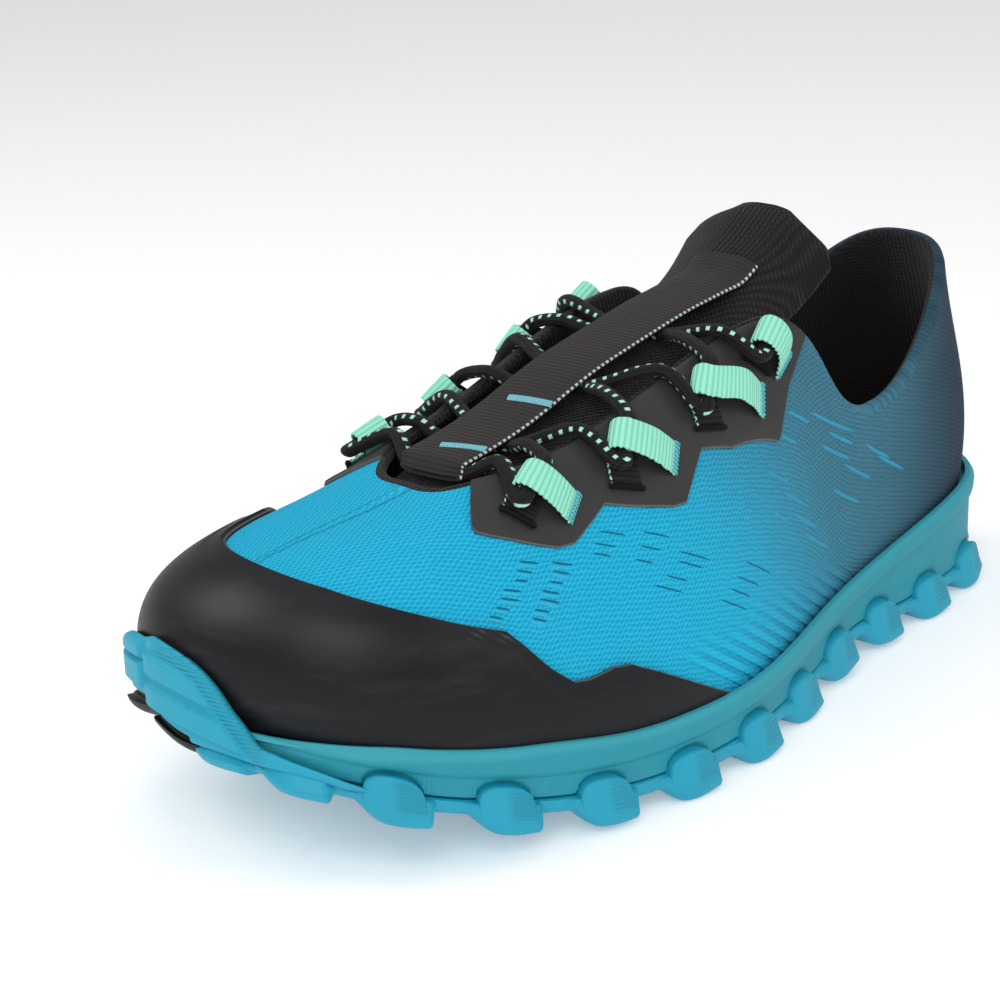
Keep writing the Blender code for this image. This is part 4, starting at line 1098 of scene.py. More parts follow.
def dash_ribbons(around, up, length, width, height):
    """Short ribbons on the upper, all with the same slope down to the heel, and with a low arched section.

    Each ribbon is stepped out both ways from its middle. A step is the move on the surface, around and up, that comes
    nearest to that slope: the least-squares answer from the surface's two slopes at the place.
    """
    slope = math.radians(DASH_SLOPE)
    way = np.array([math.cos(slope), 0.0, math.sin(slope)])
    part = length / (DASH_SECTIONS - 1)

    def slide(place, distance):
        round_way = on_upper(place[0] + 0.1, place[1])[0] - on_upper(place[0] - 0.1, place[1])[0]
        up_way = on_upper(place[0], place[1] + 1e-3)[0] - on_upper(place[0], place[1] - 1e-3)[0]
        base = np.stack([round_way / 0.2, up_way / 2e-3], -1)
        move = np.einsum("nij,j->ni", np.linalg.pinv(base), way)
        speed = np.linalg.norm(np.einsum("nij,nj->ni", base, move), axis=-1)
        return place + move.T * (distance / speed)

    places = [np.stack([around, up])]
    for _ in range(DASH_SECTIONS // 2):
        places.append(slide(places[-1], part))
        places.insert(0, slide(places[0], -part))
    places = np.stack(places, -1)
    centre, normal = surface(places[0], places[1])
    beside = np.cross(normal, unit(np.gradient(centre, axis=1)))
    steps = np.linspace(-1, 1, DASH_SECTIONS)
    taper = np.sqrt(np.clip(1.02 - steps**4, 0.02, 1))[None, :, None, None]
    side, rise = np.array(DASH_SHAPE).T[:, None, None, :, None]
    side = side * width[:, None, None, None] * taper
    rise = rise * height * taper
    return (centre[:, :, None] + side * beside[:, :, None] + rise * normal[:, :, None]).reshape(-1, 3)


def dash_rows(rows):
    """Places, lengths and widths of all dashes in a table of rows, each a little out of line."""
    share = [(np.arange(row.count) + 0.5) / row.count for row in rows]
    sway = [np.sin(np.arange(row.count) * 2.4 + row.around_from) for row in rows]
    around = [row.around_from + (row.around_to - row.around_from) * s + DASH_SWAY * w
              for row, s, w in zip(rows, share, sway)]
    up = [row.up_from + (row.up_to - row.up_from) * s for row, s in zip(rows, share)]
    length = [row.length * (1 + DASH_UNEVEN * np.cos(np.arange(row.count) * 1.7)) for row in rows]
    width = [np.full(row.count, row.width) for row in rows]
    return [np.concatenate(part) for part in (around, up, length, width)]


def make_dashes():
    """Dark slits, the bars between them and pale floats of the knit, on both sides of the shoe."""
    sides = len(DASH_SHAPE)
    size = DASH_SECTIONS * sides
    floats = [np.array(part, float) for part in zip(*PALE_FLOATS)]
    floats.append(np.full(len(PALE_FLOATS), FLOAT_WIDTH))
    for name, dashes, height, colour in (("knit_slits", dash_rows(DARK_SLITS), SLIT_RISE, look().slit),
                                         ("knit_bars", dash_rows(LIGHT_BARS), YARN_RISE, look().bar_yarn),
                                         ("knit_floats", floats, YARN_RISE, look().float_yarn)):
        around, up, length, width = dashes
        points = np.vstack([dash_ribbons(angle, up, length, width, height) for angle in (around, 360.0 - around)])
        faces = repeated(tube_faces(DASH_SECTIONS, sides), len(points) // size, size)
        add_piece(name, points, faces, [thread_paint(name, colour)])


def overlay(name, around, low, high, rows, thick, material, node, show=None, highlight=None):
    """Panel on the upper between two edges, with rounded edges and a flat back.

    Where it carries a painted highlight, a stiffener lies under it: the panel rises a little towards its middle, away
    from its top edge.
    """
    share = np.linspace(0, 1, rows)[:, None]
    up = low[None, :] * (1 - share) + high[None, :] * share
    run = np.maximum((high - low)[None, :], 1e-3) * UP_RUN
    edge = np.minimum(share, 1 - share) * run
    lift = OVERLAY_LIFT + thick * quarter_round(edge, FILM_ROUND)
    rim_line = (1 - share) * run if node == "toe_rand" else share * run
    if highlight is not None:
        lift = lift + STIFFENER * ease(rim_line, *STIFF_FROM_TOP) * ease(share * run, *STIFF_FROM_FOOT)
    face, _ = surface(around[None, :], up, lift)
    back, _ = surface(around[None, :], up[::-1], 0.1)
    points = np.concatenate([face, back[::rows - 1]])
    film = np.stack([rim_line] + [0 * up if mark is None else mark(around[None, :], up) for mark in (show, highlight)], -1)
    film = np.concatenate([film, film[:2]])
    piece = add_piece(name, points, capped_band(len(points), len(around)), [material], {"film": film})
    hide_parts(node)
    return piece


def with_knots(table, step):
    """Angles at a steady step together with every corner of an edge table."""
    steady = np.arange(table[0].around, table[-1].around, step)
    knots = np.array([row.around for row in table])
    steady = steady[np.abs(steady[:, None] - knots[None, :]).min(1) > 0.3 * step]
    return np.sort(np.append(steady, knots))


def foam_edge(angle):
    """How far the foam's visible edge lies over the solid's rim, for an angle in degrees."""
    return open_spline(FOAM_EDGE, "offset", "around", np.clip(side_angle(angle), FOAM_EDGE[0].around, 180.0))


def make_overlays():
    """Toe rand and the two eyestays."""
    around = with_knots(RAND_EDGE, 0.6)
    at = np.radians(around)
    edge, _ = sole_edge(at)
    low = up_at_height(around, rim(at, edge[:, 0]) + foam_edge(around) - RAND_UNDER_RIM)
    high = np.maximum(table_column(RAND_EDGE, "up", around), low + 0.004)

    def knit_marks(angle, up):
        """Knit slits that press through the film under its upper edge."""
        foot = angle + MARK_LEAN * (up - MARK_LEVEL)
        rows = (0.5 + 0.5 * np.cos(TURN * (up - MARK_CLIMB * angle) / MARK_ROW)) ** 4
        shown = window(foot, *MARKS_AROUND) * ease(up, *MARKS_UP)
        return rows * shown * (0.5 + 0.5 * np.cos(TURN * foot / MARK_PITCH))

    def crown_highlight(angle, up):
        """Painted highlight on the toe's crown: a sum of bell curves."""
        spots = [row.share * np.exp(-(((angle - row.around) / row.length) ** 2) - ((up - row.up) / row.height) ** 2)
                 for row in CROWN_HIGHLIGHT]
        return np.clip(sum(spots), 0, 1)

    rand = film_paint("rand_film", look().rand, 0.0, 0.36, 0.2)
    overlay("rand_film", around, low, high, 52, RAND_THICK, rand, "toe_rand", knit_marks, crown_highlight)
    film = film_paint("eyestay_film", look().eyestay, 0.12, 0.5, 0.28)
    for side in ("lateral", "medial"):
        around = with_knots(EYESTAY_EDGE, 0.6)
        low = table_column(EYESTAY_EDGE, "up", around)
        if side == "medial":
            around = 360.0 - around[::-1]
            low = low[::-1]
        high = np.full_like(low, EYESTAY_TOP)
        overlay("eyestay_film_" + side, around, low, high, 26, EYESTAY_THICK, film, "eyestay_" + side)


def toe_curl(angle):
    """Extra lift of the sole's edge round the medial side of the toe, for an angle in degrees."""
    return TOE_CURL * window(np.mod(angle, 360.0), *CURL_WINDOW)


def sole_outline():
    """Angles once round the sole, with the distance along its outline."""
    at = np.linspace(0, TURN, 1441)
    return at, run_length(sole_edge(at)[0])


def lug_runs():
    """Side lugs: distance along the outline, direction to the toe, width and depth."""
    total = sole_outline()[1][-1]
    places = []
    for k in range(SIDE_LUGS):
        run = FIRST_LUG + k * LUG_PITCH
        places += [(run, 1, 1.0, 1.0), (total - run, -1, 1.0, 1.0)]
    for row in TOE_LUGS:
        places += [(row.run, 1, TOE_LUG_WIDTH, row.lateral), (total - row.run, -1, TOE_LUG_WIDTH, row.medial)]
    return places


def sole_rings(table, columns):
    """Rings round the sole, one for each row of a side table, with the distance along the outline."""
    at = np.linspace(0, TURN, columns, endpoint=False)
    run = run_length(sole_edge(np.linspace(0, TURN, columns + 1))[0])[:-1]
    rings = []
    for row in table:
        edge, _ = sole_edge(at, np.full(columns, row.out))
        low = plate_top(edge[:, 0])
        rings.append(np.column_stack([edge, low + row.share * (rim(at, edge[:, 0]) - low) + row.height]))
    return at, run, np.stack(rings)


def lug_floor(along):
    """Height of a lug's lower face over the floor: steep up to the plate at its heel end, then falling slowly to
    nought past its middle, and a long way up to the plate at its toe end."""
    heel = ease(along, *LUG_HEEL) * (1 - LUG_SAG + LUG_SAG * ease(along, *SAG_RUN))
    return LUG_DEPTH * (1 - heel * (1 - ease(along, *LUG_TOE)))


def lug_tab(along):
    """Height of a lug's tab over the floor: half an ellipse, level with the plate at both ends."""
    share = np.abs(along - TAB_MID) / TAB_HALF
    return TAB_LOW + (TAB_TOP - TAB_LOW) * np.clip(1 - share ** TAB_POWERS[0], 0, 1) ** TAB_POWERS[1]


def lug_face(along):
    """How far a lug's outer face stands out, as a share: full on the heel side of the ridge, then falling straight."""
    past = (along - LUG_RIDGE) / (LUG_TOE[1] - LUG_RIDGE)
    fall = 0.5 * (past + np.sqrt(past**2 + RIDGE_SOFT))
    return np.clip(1 - fall, 0, 1) * ease(along, *(LUG_HEEL[0] + place for place in FACE_START))


def side_rows(table, step):
    """Rows of a side table with more rows between those that lie further apart, as shares and heights."""
    rows = np.array(table, float)
    gap = np.abs(np.diff(rows[:, 1])) + np.abs(np.diff(rows[:, 2])) * 0.08
    count = np.maximum(1, np.ceil(gap / step).astype(int))
    places = np.concatenate([i + np.arange(n) / n for i, n in enumerate(count)] + [[len(rows) - 1.0]])
    return [SideRow(*(np.interp(place, np.arange(len(rows)), rows[:, k]) for k in range(3))) for place in places]


def make_midsole():
    """Midsole: stepped side carried round the sole, hollowed to an arch over each lug's tab."""
    columns = 1200
    table = side_rows(MIDSOLE_SIDE, 0.06)
    at, run, rings = sole_rings(table, columns)
    offset = foam_edge(np.degrees(at))
    share = np.array([float(ease(row.height, *FOAM_FOLLOWS)) * (row.share == 1.0) for row in table])
    rings[..., 2] += share[:, None] * offset[None, :]
    _, outward = sole_edge(at)
    outward = np.concatenate([outward, np.zeros((columns, 1))], -1)
    over_floor = rings[..., 2] - ground(rings[..., 0])
    pocket = np.zeros(rings.shape[:2])
    for lug_run, toeward, width, depth in lug_runs():
        along = (run - lug_run) * toeward / width
        arch = lug_tab(along) + POCKET_ROOM
        ends = [TAB_HALF + place for place in POCKET_END]
        inside = (1 - ease(np.abs(along - TAB_MID), *ends)) * (depth == 1.0)
        pocket = np.maximum(pocket, inside[None, :] * ease(arch[None, :] - over_floor, *POCKET_EDGE))
    rings = rings - POCKET_DEPTH * pocket[..., None] * outward[None]
    level = rings[..., 2] - (rim(at, rings[0, :, 0]) + offset - STEP_DROP)[None, :]
    from_heel = np.minimum(run, run[-1] - run)
    side = joined(from_heel, level, 0 * level)
    faces = capped_rings(len(rings), columns)
    piece = add_piece("foam_midsole", rings, faces, [foam_paint()], {"side": side}, sharp=40.0)
    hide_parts("midsole")
    return piece


def side_lug(run, toeward, width, depth):
    """One lug that wraps up the sole's side: a rounded profile carried along the sole's edge.

    At each place along the edge the profile runs under the sole, out along the lug's lower face, up its outer face
    to the top of the tab and back in; the face's reach and both heights are functions of the place. The shallow lugs
    of the toe have no tab, and on its medial side they are dark.
    """
    at, length = sole_outline()
    along = np.concatenate([np.linspace(LUG_HEEL[0] - 0.8, LUG_HEEL[1], 11)[:-1],
                            np.linspace(LUG_HEEL[1], TAB_MID - TAB_HALF, 4)[:-1],
                            TAB_MID + TAB_HALF * np.sin(np.linspace(-0.25, 0.25, 21) * TURN),
                            np.linspace(TAB_MID + TAB_HALF, LUG_TOE[1], 11)[1:]])
    face = lug_face(along)
    floor = np.minimum(LUG_DEPTH - (LUG_DEPTH - lug_floor(along)) * depth, LUG_DEPTH + PLATE - PLATE_EDGE)
    tab = lug_tab(along) if depth == 1.0 else np.full_like(along, TAB_LOW)
    low = LUG_OUT_LOW * face - LUG_ROOT
    high = LUG_OUT_HIGH * face - LUG_ROOT
    inner = np.full_like(along, PLATE / 2 + LUG_DEPTH)
    deep = np.full_like(along, -LUG_INWARD)
    back = np.full_like(along, LUG_BACK)
    foot, top = LUG_FOOT[-1].level, LUG_TOP[0].level
    rows = [(deep, floor)] + [(low - step.inward, floor + step.level) for step in LUG_FOOT]
    for share in np.linspace(0, 1, LUG_FACE_ROWS + 2)[1:-1]:
        rows.append((low + (high - low) * share, floor + foot + np.maximum(tab - top - floor - foot, 0) * share))
    rows += [(high - step.inward, tab - step.level) for step in LUG_TOP]
    rows += [(back, tab), (back, inner), (deep, inner)]
    points = []
    marks = []
    for out, height in rows:
        taper = np.where(out == deep, LUG_TAPER, 1.0)
        angle = np.interp(run + toeward * along * taper * width, length, at)
        spot, _ = sole_edge(angle, out)
        points.append(np.column_stack([spot, height + ground(spot[:, 0]) + toe_curl(np.degrees(angle))]))
        ridged = window(along, LUG_HEEL[1], LUG_HEEL[1] + 1.2, LUG_RIDGE - 1.4, LUG_RIDGE + 0.2)
        ridged = ridged * ease(height - floor, 2.0, 4.5) * (height < tab - 0.5) * (depth == 1.0)
        dark = np.full_like(along, depth < 1.0 and toeward < 0)
        marks.append(np.column_stack([ridged, height, dark]))
    points = np.stack(points, 1).reshape(-1, 3)
    marks = np.stack(marks, 1).reshape(-1, 3)
    return points, marks, tube_faces(len(along), len(rows))


def tread_lug(x, y, row, turn):
    """One ground lug: a turned block that tapers towards the floor."""
    lean = math.radians(turn)
    along = np.array([math.cos(lean), math.sin(lean)])
    across = np.array([-along[1], along[0]])
    a, b = np.array([(-1, 1, 1, -1), (-1, -1, 1, 1)])[:, :, None]
    corners = a * row.along * along + b * row.across * across
    scale = np.array([TREAD_TAPER, 1.0])[:, None, None]
    spots = np.array([x, y]) + corners * scale / 2
    height = np.array([0.0, LUG_DEPTH + PLATE / 2])[:, None] + ground(spots[..., 0])
    points = np.concatenate([spots, height[..., None]], -1).reshape(-1, 3)
    return points, np.zeros_like(points), tube_faces(2, 4)


def rounded(piece, width, segments):
    """Rounds a piece's edges."""
    bevel = piece.modifiers.new("rounding", "BEVEL")
    bevel.width = width * MM
    bevel.segments = segments
    bevel.limit_method = "ANGLE"
    bevel.angle_limit = math.radians(24)
    bevel.harden_normals = False


def make_outsole():
    """Rubber plate, side lugs, ground lugs and toe bumper."""
    rubber = rubber_paint("rubber")
    columns = 480
    at, _, rings = sole_rings(PLATE_SIDE, columns)
    angle = np.degrees(at)[None, :]
    rings[..., 2] += toe_curl(angle)
    low = np.arange(len(rings))[:, None] >= 1
    dark = low * window(angle, *PLATE_LIP)
    marks = np.stack([0 * dark, 0 * dark, dark], -1)
    plate = add_piece("rubber_plate", rings, capped_rings(len(rings), columns), [rubber], {"rubber": marks})
    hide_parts("outsole")
    sides = [side_lug(*place) for place in lug_runs()]
    treads = []
    for row in TREAD:
        spot = station(row.x)
        lateral = float(last_column("edge", spot)) - LUG_INWARD
        medial = float(last_column("edge", TURN - spot)) + LUG_INWARD
        room = (lateral - medial) / row.count
        for k in range(row.count):
            y = medial + room * (k + 0.5)
            treads.append(tread_lug(row.x, y, row, row.turn * np.sign(y - (lateral + medial) / 2)))
    for name, lugs in (("side_lugs", sides), ("ground_lugs", treads)):
        points = np.vstack([lug[0] for lug in lugs])
        marks = np.vstack([lug[1] for lug in lugs])
        faces = repeated(lugs[0][2], len(lugs), len(lugs[0][0]))
        piece = add_piece(name, points, faces, [rubber], {"rubber": marks}, sharp=60.0)
        if lugs is treads:
            rounded(piece, TREAD_ROUND, 3)
    make_bumper(rubber)


def make_bumper(rubber):
    """Toe bumper: a lip in front of the rand, with raised panels, two lobes on its medial side and a ridged near edge.

    Its outer face stands off the rand and the midsole by its thickness and by the panels, which are products of
    smooth steps in the angle and in the height above the rim. Round the medial side its foot is a dark lip.
    """
    columns, rows = 300, 72
    table = BUMPER_TAIL + tuple(row._replace(above_rim=row.above_rim - BUMPER_DROP) for row in BUMPER
                                if row.around > BUMPER_TAIL[-1].around)
    around = np.linspace(table[0].around, table[-1].around, columns)
    at = np.radians(around)
    lobes = ease(around, *LOBES)
    above = open_spline(table, "above_rim", "around", around) - LOBE_DROP * lobes
    thick = open_spline(table, "thick", "around", around) * (1 - LOBE_THIN * lobes)
    edge, outward = sole_edge(at)
    rim_z = rim(at, edge[:, 0])
    lip = max(row.out for row in MIDSOLE_SIDE) + GAP

    def plate_height(out, height):
        return plate_top(sole_edge(at, out)[0][:, 0]) + height + toe_curl(around)

    start = plate_height(np.full_like(around, lip), -BUMPER_SINK)
    share = np.linspace(0, 1, rows)[:, None]
    height = start[None, :] + (np.maximum(rim_z + above, start + BUMPER_LEAST) - start)[None, :] * share
    level = np.stack([up_at_height(around, np.maximum(row, rim_z)) for row in height])
    face, _ = on_upper(around[None, :], level, OVERLAY_LIFT + RAND_THICK + BUMPER_ROOM)
    clear = np.maximum(lip, np.einsum("rcj,cj->rc", face[..., :2] - edge[None], outward))
    angle = around[None, :]
    over_rim = height - rim_z[None, :]
    to_top = height[-1:] - height
    over_foot = height - height[:1]
    crown = quarter_round(to_top, CROWN_ROUND)
    foot_round = quarter_round(over_foot, FOOT_ROUND)
    slant = angle - PANEL_SLANT * over_rim
    panels = 0.0
    for row in PANELS:
        offset = over_rim - row.middle - PANEL_TILT * (np.minimum(angle, PANEL_SPLIT) - PANEL_MIDDLE)
        near = slant if row.end < PANEL_SPLIT else angle
        inside = ease(near, row.start - PANEL_END, row.start + PANEL_END)
        inside = inside * (1 - ease(angle, row.end - PANEL_END, row.end + PANEL_END))
        panels = panels + row.lift * inside * (1 - ease(np.abs(offset), row.half - PANEL_SIDE, row.half))
    full = np.minimum(1, thick[None, :] / BUMPER_FULL)
    dark = window(angle, *BUMPER_LIP) * (over_foot < LIP_HEIGHT)
    out = clear + thick[None, :] * (BUMPER_FLAT + BUMPER_BULGE * crown) - FOOT_BACK * (1 - foot_round) * full
    out = out + panels * crown * (1 - dark) - LIP_BACK * dark
    outer = np.concatenate([edge[None] + outward[None] * out[..., None], height[..., None]], -1)
    inner = np.concatenate([edge[None] + outward[None] * clear[..., None], height[..., None]], -1)[::-1]
    foot = []
    under = np.full_like(around, BUMPER_UNDER)
    for reach, drop in ((under, -BUMPER_SINK), (under, -1.5), (out[0] - 0.6, -1.2)):
        spot, _ = sole_edge(at, reach)
        foot.append(np.column_stack([spot, plate_height(reach, drop)]))
    points = np.concatenate([outer, inner[::4], np.stack(foot)])
    total = len(points)
    near = (1 - ease(slant, *RIDGED_TO)) * ease(angle, *RIDGED_FROM)
    edge_band = (1 - ease(to_top, *RIDGED_TOP)) * window(angle, *RIDGED_WINDOW)
    marks = np.stack([np.maximum(near, edge_band), height, dark], -1)
    below = np.repeat(marks[:1] * np.array([0.0, 1.0, 1.0]), total - rows, 0)
    marks = np.concatenate([marks, below])
    piece = add_piece("toe_bumper", points, capped_band(total, columns), [rubber], {"rubber": marks}, sharp=60.0)
    return piece


def make_insole():
    """Foot bed: a soft-edged slab in the dish, slightly hollow."""
    columns = 240
    at = np.linspace(0, TURN, columns, endpoint=False)
    rings = []
    for row in FOOT_BED:
        edge, _ = sole_edge(at, np.full(columns, -row.inset))
        rings.append(np.column_stack([edge, rim(at, edge[:, 0]) - DISH_DEPTH + GAP + row.height]))
    faces = capped_rings(len(rings), columns)
    piece = add_piece("foot_bed", np.vstack(rings), faces, [lining_paint("foot_bed", 1.6)])
    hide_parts("insole")
    return piece


def band_outline(count):
    """Flat rounded section of a webbing: a squared ellipse, as shares of half its width and half its thickness."""
    turn = np.linspace(0, TURN, count, endpoint=False) + TURN / count / 2
    across = np.sign(np.cos(turn)) * np.abs(np.cos(turn)) ** 0.45
    high = np.sign(np.sin(turn)) * np.abs(np.sin(turn)) ** 0.4
    return across, high


def make_tongue():
    """Padded tongue: a crowned sheet with rounded edges and a rounded top."""
    rows, sides = 70, 44
    across, high = band_outline(sides)
    x = np.linspace(TONGUE[0].x, TONGUE[-1].x, rows)[:, None]
    end = np.sqrt(np.clip(1 - ease(-x, *TONGUE_TIP) ** 4 * TIP_ROUND, 0.05, 1))
    y = TONGUE_Y + across[None, :] * open_spline(TONGUE, "half", "x", x) * end
    quilt = QUILT * np.cos(np.pi * np.clip((y - TONGUE_Y) / QUILT_HALF, -1, 1))
    z = tongue_top(x, y) - TONGUE_THICK / 2 + high[None, :] * TONGUE_THICK / 2 * end
    z = z + quilt * (high[None, :] > 0) * ease(-x, *QUILT_FROM)
    points = joined(x, y, z)
    piece = add_piece("tongue_pad", points, tube_faces(rows, sides), [lining_paint("tongue_mesh", 1.5)], sharp=70.0)
    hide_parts("tongue")
    return piece


def strip_low(x, y):
    """Height of the strip's lower face, which leans with the tongue and lies down on it at its rear end."""
    flat = tongue_top(x, TONGUE_Y + 0 * x) + open_spline(TONGUE, "tilt", "x", x) * (y - TONGUE_Y)
    laid = flat + (tongue_top(x, y) - flat) * ease(-x, *STRIP_LAID)
    return laid + open_spline(STRIP, "lift", "x", x)


def make_strip():
    """Webbing strip over the lace, turned down at its front end, with two bar tacks across it."""
    rows, sides = 140, 28
    across, high = band_outline(sides)
    nose = STRIP[0].x
    place = np.concatenate([np.linspace(nose - NOSE_BACK, nose - NOSE_BACK - 5.0, 24)[:-1],
                            np.linspace(nose - NOSE_BACK - 5.0, STRIP[-1].x, rows - 23)])[:, None]
    y = TONGUE_Y + across[None, :] * STRIP_HALF
    front = np.clip((place - nose + NOSE_START) / NOSE_LENGTH, 0, 1)
    x = place - NOSE_ROUND * ease(front, 0.2, 1.0) * np.abs(across[None, :]) ** 2.5
    lower = strip_low(np.minimum(x, nose), y) - NOSE_DROP * front**2.2
    run = run_length(np.column_stack([place[:, 0], lower.mean(1)]))[:, None]
    crown = STRIP_CROWN * (1 - across[None, :] ** 2)
    wave = STRIP_WAVE * np.sin(TURN * run / STRIP_WAVE_RUN)
    z = lower + STRIP_THICK / 2 + high[None, :] * STRIP_THICK / 2 + crown + wave
    points = joined(x, y, z)
    web = joined(run, across[None, :], high[None, :])
    paint = webbing_paint("strip_webbing", look().strip, look().strip, (look().edge_yarn, 1), 1.3, 0.7)
    piece = add_piece("strip_webbing", points, tube_faces(rows, sides), [paint], {"web": web}, sharp=70.0)
    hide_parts("tongue_strip")
    stitches = []
    for row in TACKS:
        share = np.linspace(0, 1, 17)[:, None]
        t = np.linspace(-1, 1, 9)[None, :]
        spots_x = row.from_x + (row.to_x - row.from_x) * share + 0.75 * t
        spots_y = row.left + (row.right - row.left) * share + 0.25 * t
        rise = STRIP_THICK + STRIP_CROWN * (1 - ((spots_y - TONGUE_Y) / STRIP_HALF) ** 2) + 0.2 - 0.45 * t**4
        stitches.append(np.stack([spots_x, spots_y, strip_low(spots_x, spots_y) + rise], -1))
    thread = thread_paint("tack_thread", look().tack)
    piece = add_threads("strip_tacks", np.concatenate(stitches), TACK_RADIUS, thread)
    return piece


def add_threads(name, paths, radius, paint):
    """Round threads along several short paths of equal length."""
    sides = 6
    turn = np.linspace(0, TURN, sides, endpoint=False)
    along = unit(np.gradient(paths, axis=1))
    beside = unit(np.cross(along, np.array([0.13, 0.21, 0.97])))
    over = np.cross(beside, along)
    ring = np.cos(turn)[:, None] * beside[:, :, None] + np.sin(turn)[:, None] * over[:, :, None]
    points = paths[:, :, None] + radius * ring
    count, steps = paths.shape[:2]
    faces = repeated(tube_faces(steps, sides), count, steps * sides)
    return add_piece(name, points, faces, [paint])


def mirrored(around, side):
    """The same place on the chosen side."""
    return around if side == "lateral" else 360.0 - around


def fold_frame(row, side):
    """Middle of a loop's fold, with the directions off the wall, out over the fold and along the lace."""
    around = mirrored(np.array([row.fold_around]), side)
    ahead = mirrored(np.array([row.fold_around + 1.0]), side)
    centre, normal = on_upper(around, row.fold_up, LACE_LIFT)
    toe_way = unit(on_upper(ahead, row.fold_up, LACE_LIFT)[0] - centre)[0]
    up_way = (on_upper(around, row.fold_up + 0.01, LACE_LIFT)[0] - centre)[0]
    up_way = unit(up_way - (up_way @ toe_way) * toe_way)
    turn = math.radians(LOOP_TURN)
    out = math.cos(turn) * up_way + math.sin(turn) * toe_way
    lace = math.cos(turn) * toe_way - math.sin(turn) * up_way
    return centre[0], normal[0], out, lace


def loop_path(row, side):
    """Middle line of one folded loop with the direction of its width, to the toe, at each point."""
    low = SEAT + BAND_THICK / 2
    centre, normal, out, lace = fold_frame(row, side)

    def leg(around, up):
        """End and middle of a leg, end first, and the direction off the wall at its end."""
        angles = mirrored(np.array([around, 0.5 * (around + row.fold_around)]), side)
        return on_upper(angles, np.array([up, 0.5 * (up + row.fold_up)]), low)

    over, over_normal = leg(row.over_around, row.over_up)
    under, under_normal = leg(row.under_around, row.under_up)
    fold = [centre + FOLD_RADIUS * (place.out * out + place.off * normal) for place in FOLD]
    path = np.array([over[0], over[1] + LEG_RISE * over_normal[1], *fold, under[1], under[0]])
    legs = (np.cross(path[2] - path[0], over_normal[0]), np.cross(path[6] - path[8], under_normal[0]))
    legs = [unit(way) * np.sign(way @ lace) for way in legs]
    widths = np.array([legs[0]] * 2 + [unit(legs[0] + 2 * lace)] + [lace] * 4 + [legs[1]] * 2)
    steps = 9
    spots = np.linspace(0, len(path) - 1, (len(path) - 1) * steps + 1)
    widths = np.column_stack([np.interp(spots, np.arange(len(path)), widths[:, i]) for i in range(3)])
    return smooth_path(path, steps), unit(widths), over_normal[0]


def make_loops():
    """Eight folded webbing loops, with a comb of tack stitches on each upper leg, and for each lower one a dark cord as
    painted shadow in its slot.
    """
    sides = 24
    across, high = band_outline(sides)
    paint = webbing_paint("loop_webbing", look().mint, look().black_high, (look().mint_pale, 0), BAND_RIB, 0.72)
    stitches = []
    slot_shadows = []
    for side in ("lateral", "medial"):
        for number, row in enumerate(LOOPS, 1):
            path, width, foot_normal = loop_path(row, side)
            along = unit(np.gradient(path, axis=0))
            thick = unit(np.cross(along, width))
            run = run_length(path)
            if thick[0] @ foot_normal < 0:
                thick = -thick
            rib = 0.5 + 0.5 * np.cos(TURN * run / BAND_RIB)
            half = BAND_HALF - BAND_IN + BAND_OUT * rib[:, None] * np.clip(across[None, :], 0, 1) ** 2
            deep = (BAND_THICK / 2 - BAND_THIN + BAND_SWELL * rib)[:, None, None]
            points = (path[:, None] + (across[None, :] * half)[..., None] * width[:, None]
                      + high[None, :, None] * (deep * thick[:, None]))
            web = joined(run[:, None], across[None, :], high[None, :])
            piece = add_piece(f"webbing_{side}_{number}", points, tube_faces(len(path), sides), [paint],
                              {"web": web}, sharp=70.0)
            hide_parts(f"loop_{side}_{number}")
            t = np.linspace(0, 1, 9)
            reach = np.linspace(-COMB_REACH, COMB_REACH, COMB_COUNT)
            climb = np.interp(t, [spot.share for spot in COMB], [spot.climb for spot in COMB])
            away = COMB_START + COMB_LENGTH * t
            leg = unit(path[3] - path[0])
            stitches.append(path[0] + reach[:, None, None] * BAND_HALF * width[0] + away[:, None] * leg
                            + climb[:, None] * thick[0])
            # Painted shadow: a dark cord across the end of the lower leg, where it goes into its slot
            ends = np.linspace(-SLOT_REACH, SLOT_REACH, 9)
            arch = SLOT_DEPTH - SLOT_BEND * ends**8
            slot_shadows.append(path[-1] + (ends * BAND_HALF)[:, None] * width[-1] - arch[:, None] * thick[-1])
    thread = thread_paint("comb_thread", look().comb)
    combs = add_threads("loop_tacks", np.concatenate(stitches), COMB_RADIUS, thread)
    piece = add_threads("loop_slots", np.stack(slot_shadows), SLOT_RADIUS, thread_paint("slot_edge", look().black_low))
    return piece


def lace_spot(around, up, lift, side):
    """A point of the lace above the upper."""
    return on_upper(np.array([mirrored(around, side)]), np.array([up]), np.array([lift]))[0][0]


def lace_through(row, side, swing, rearward):
    """Lace points through one loop, toe side to collar side; in the last loop the lace ends."""
    beside = BAND_HALF + LACE_RADIUS + LACE_BESIDE
    step = 1.0 / np.linalg.norm(lace_spot(row.fold_around + 1.0, 1.0, 0.0, side)
                                - lace_spot(row.fold_around, 1.0, 0.0, side))
    centre, _, _, along = fold_frame(row, side)
    edge = lace_spot(row.fold_around + step * swing, LACE_OVER, EDGE_LIFT, side)
    return [edge, centre + beside * along, centre, centre - (beside if rearward else 1.0) * along]


def lace_centre(x, y):
    """A point of the lace under the strip."""
    return np.array([x, y, float(strip_low(np.array(x), np.array(y))) - LACE_RADIUS - LACE_UNDER])


def lace_beside(centre, spot):
    """A point of the lace at the strip's medial edge, on the way from a crossing to the throat's edge."""
    share = (centre[1] - TONGUE_Y + STRIP_HALF) / (centre[1] - spot[1])
    return lace_centre(*(centre[:2] + share * (spot[:2] - centre[:2])))


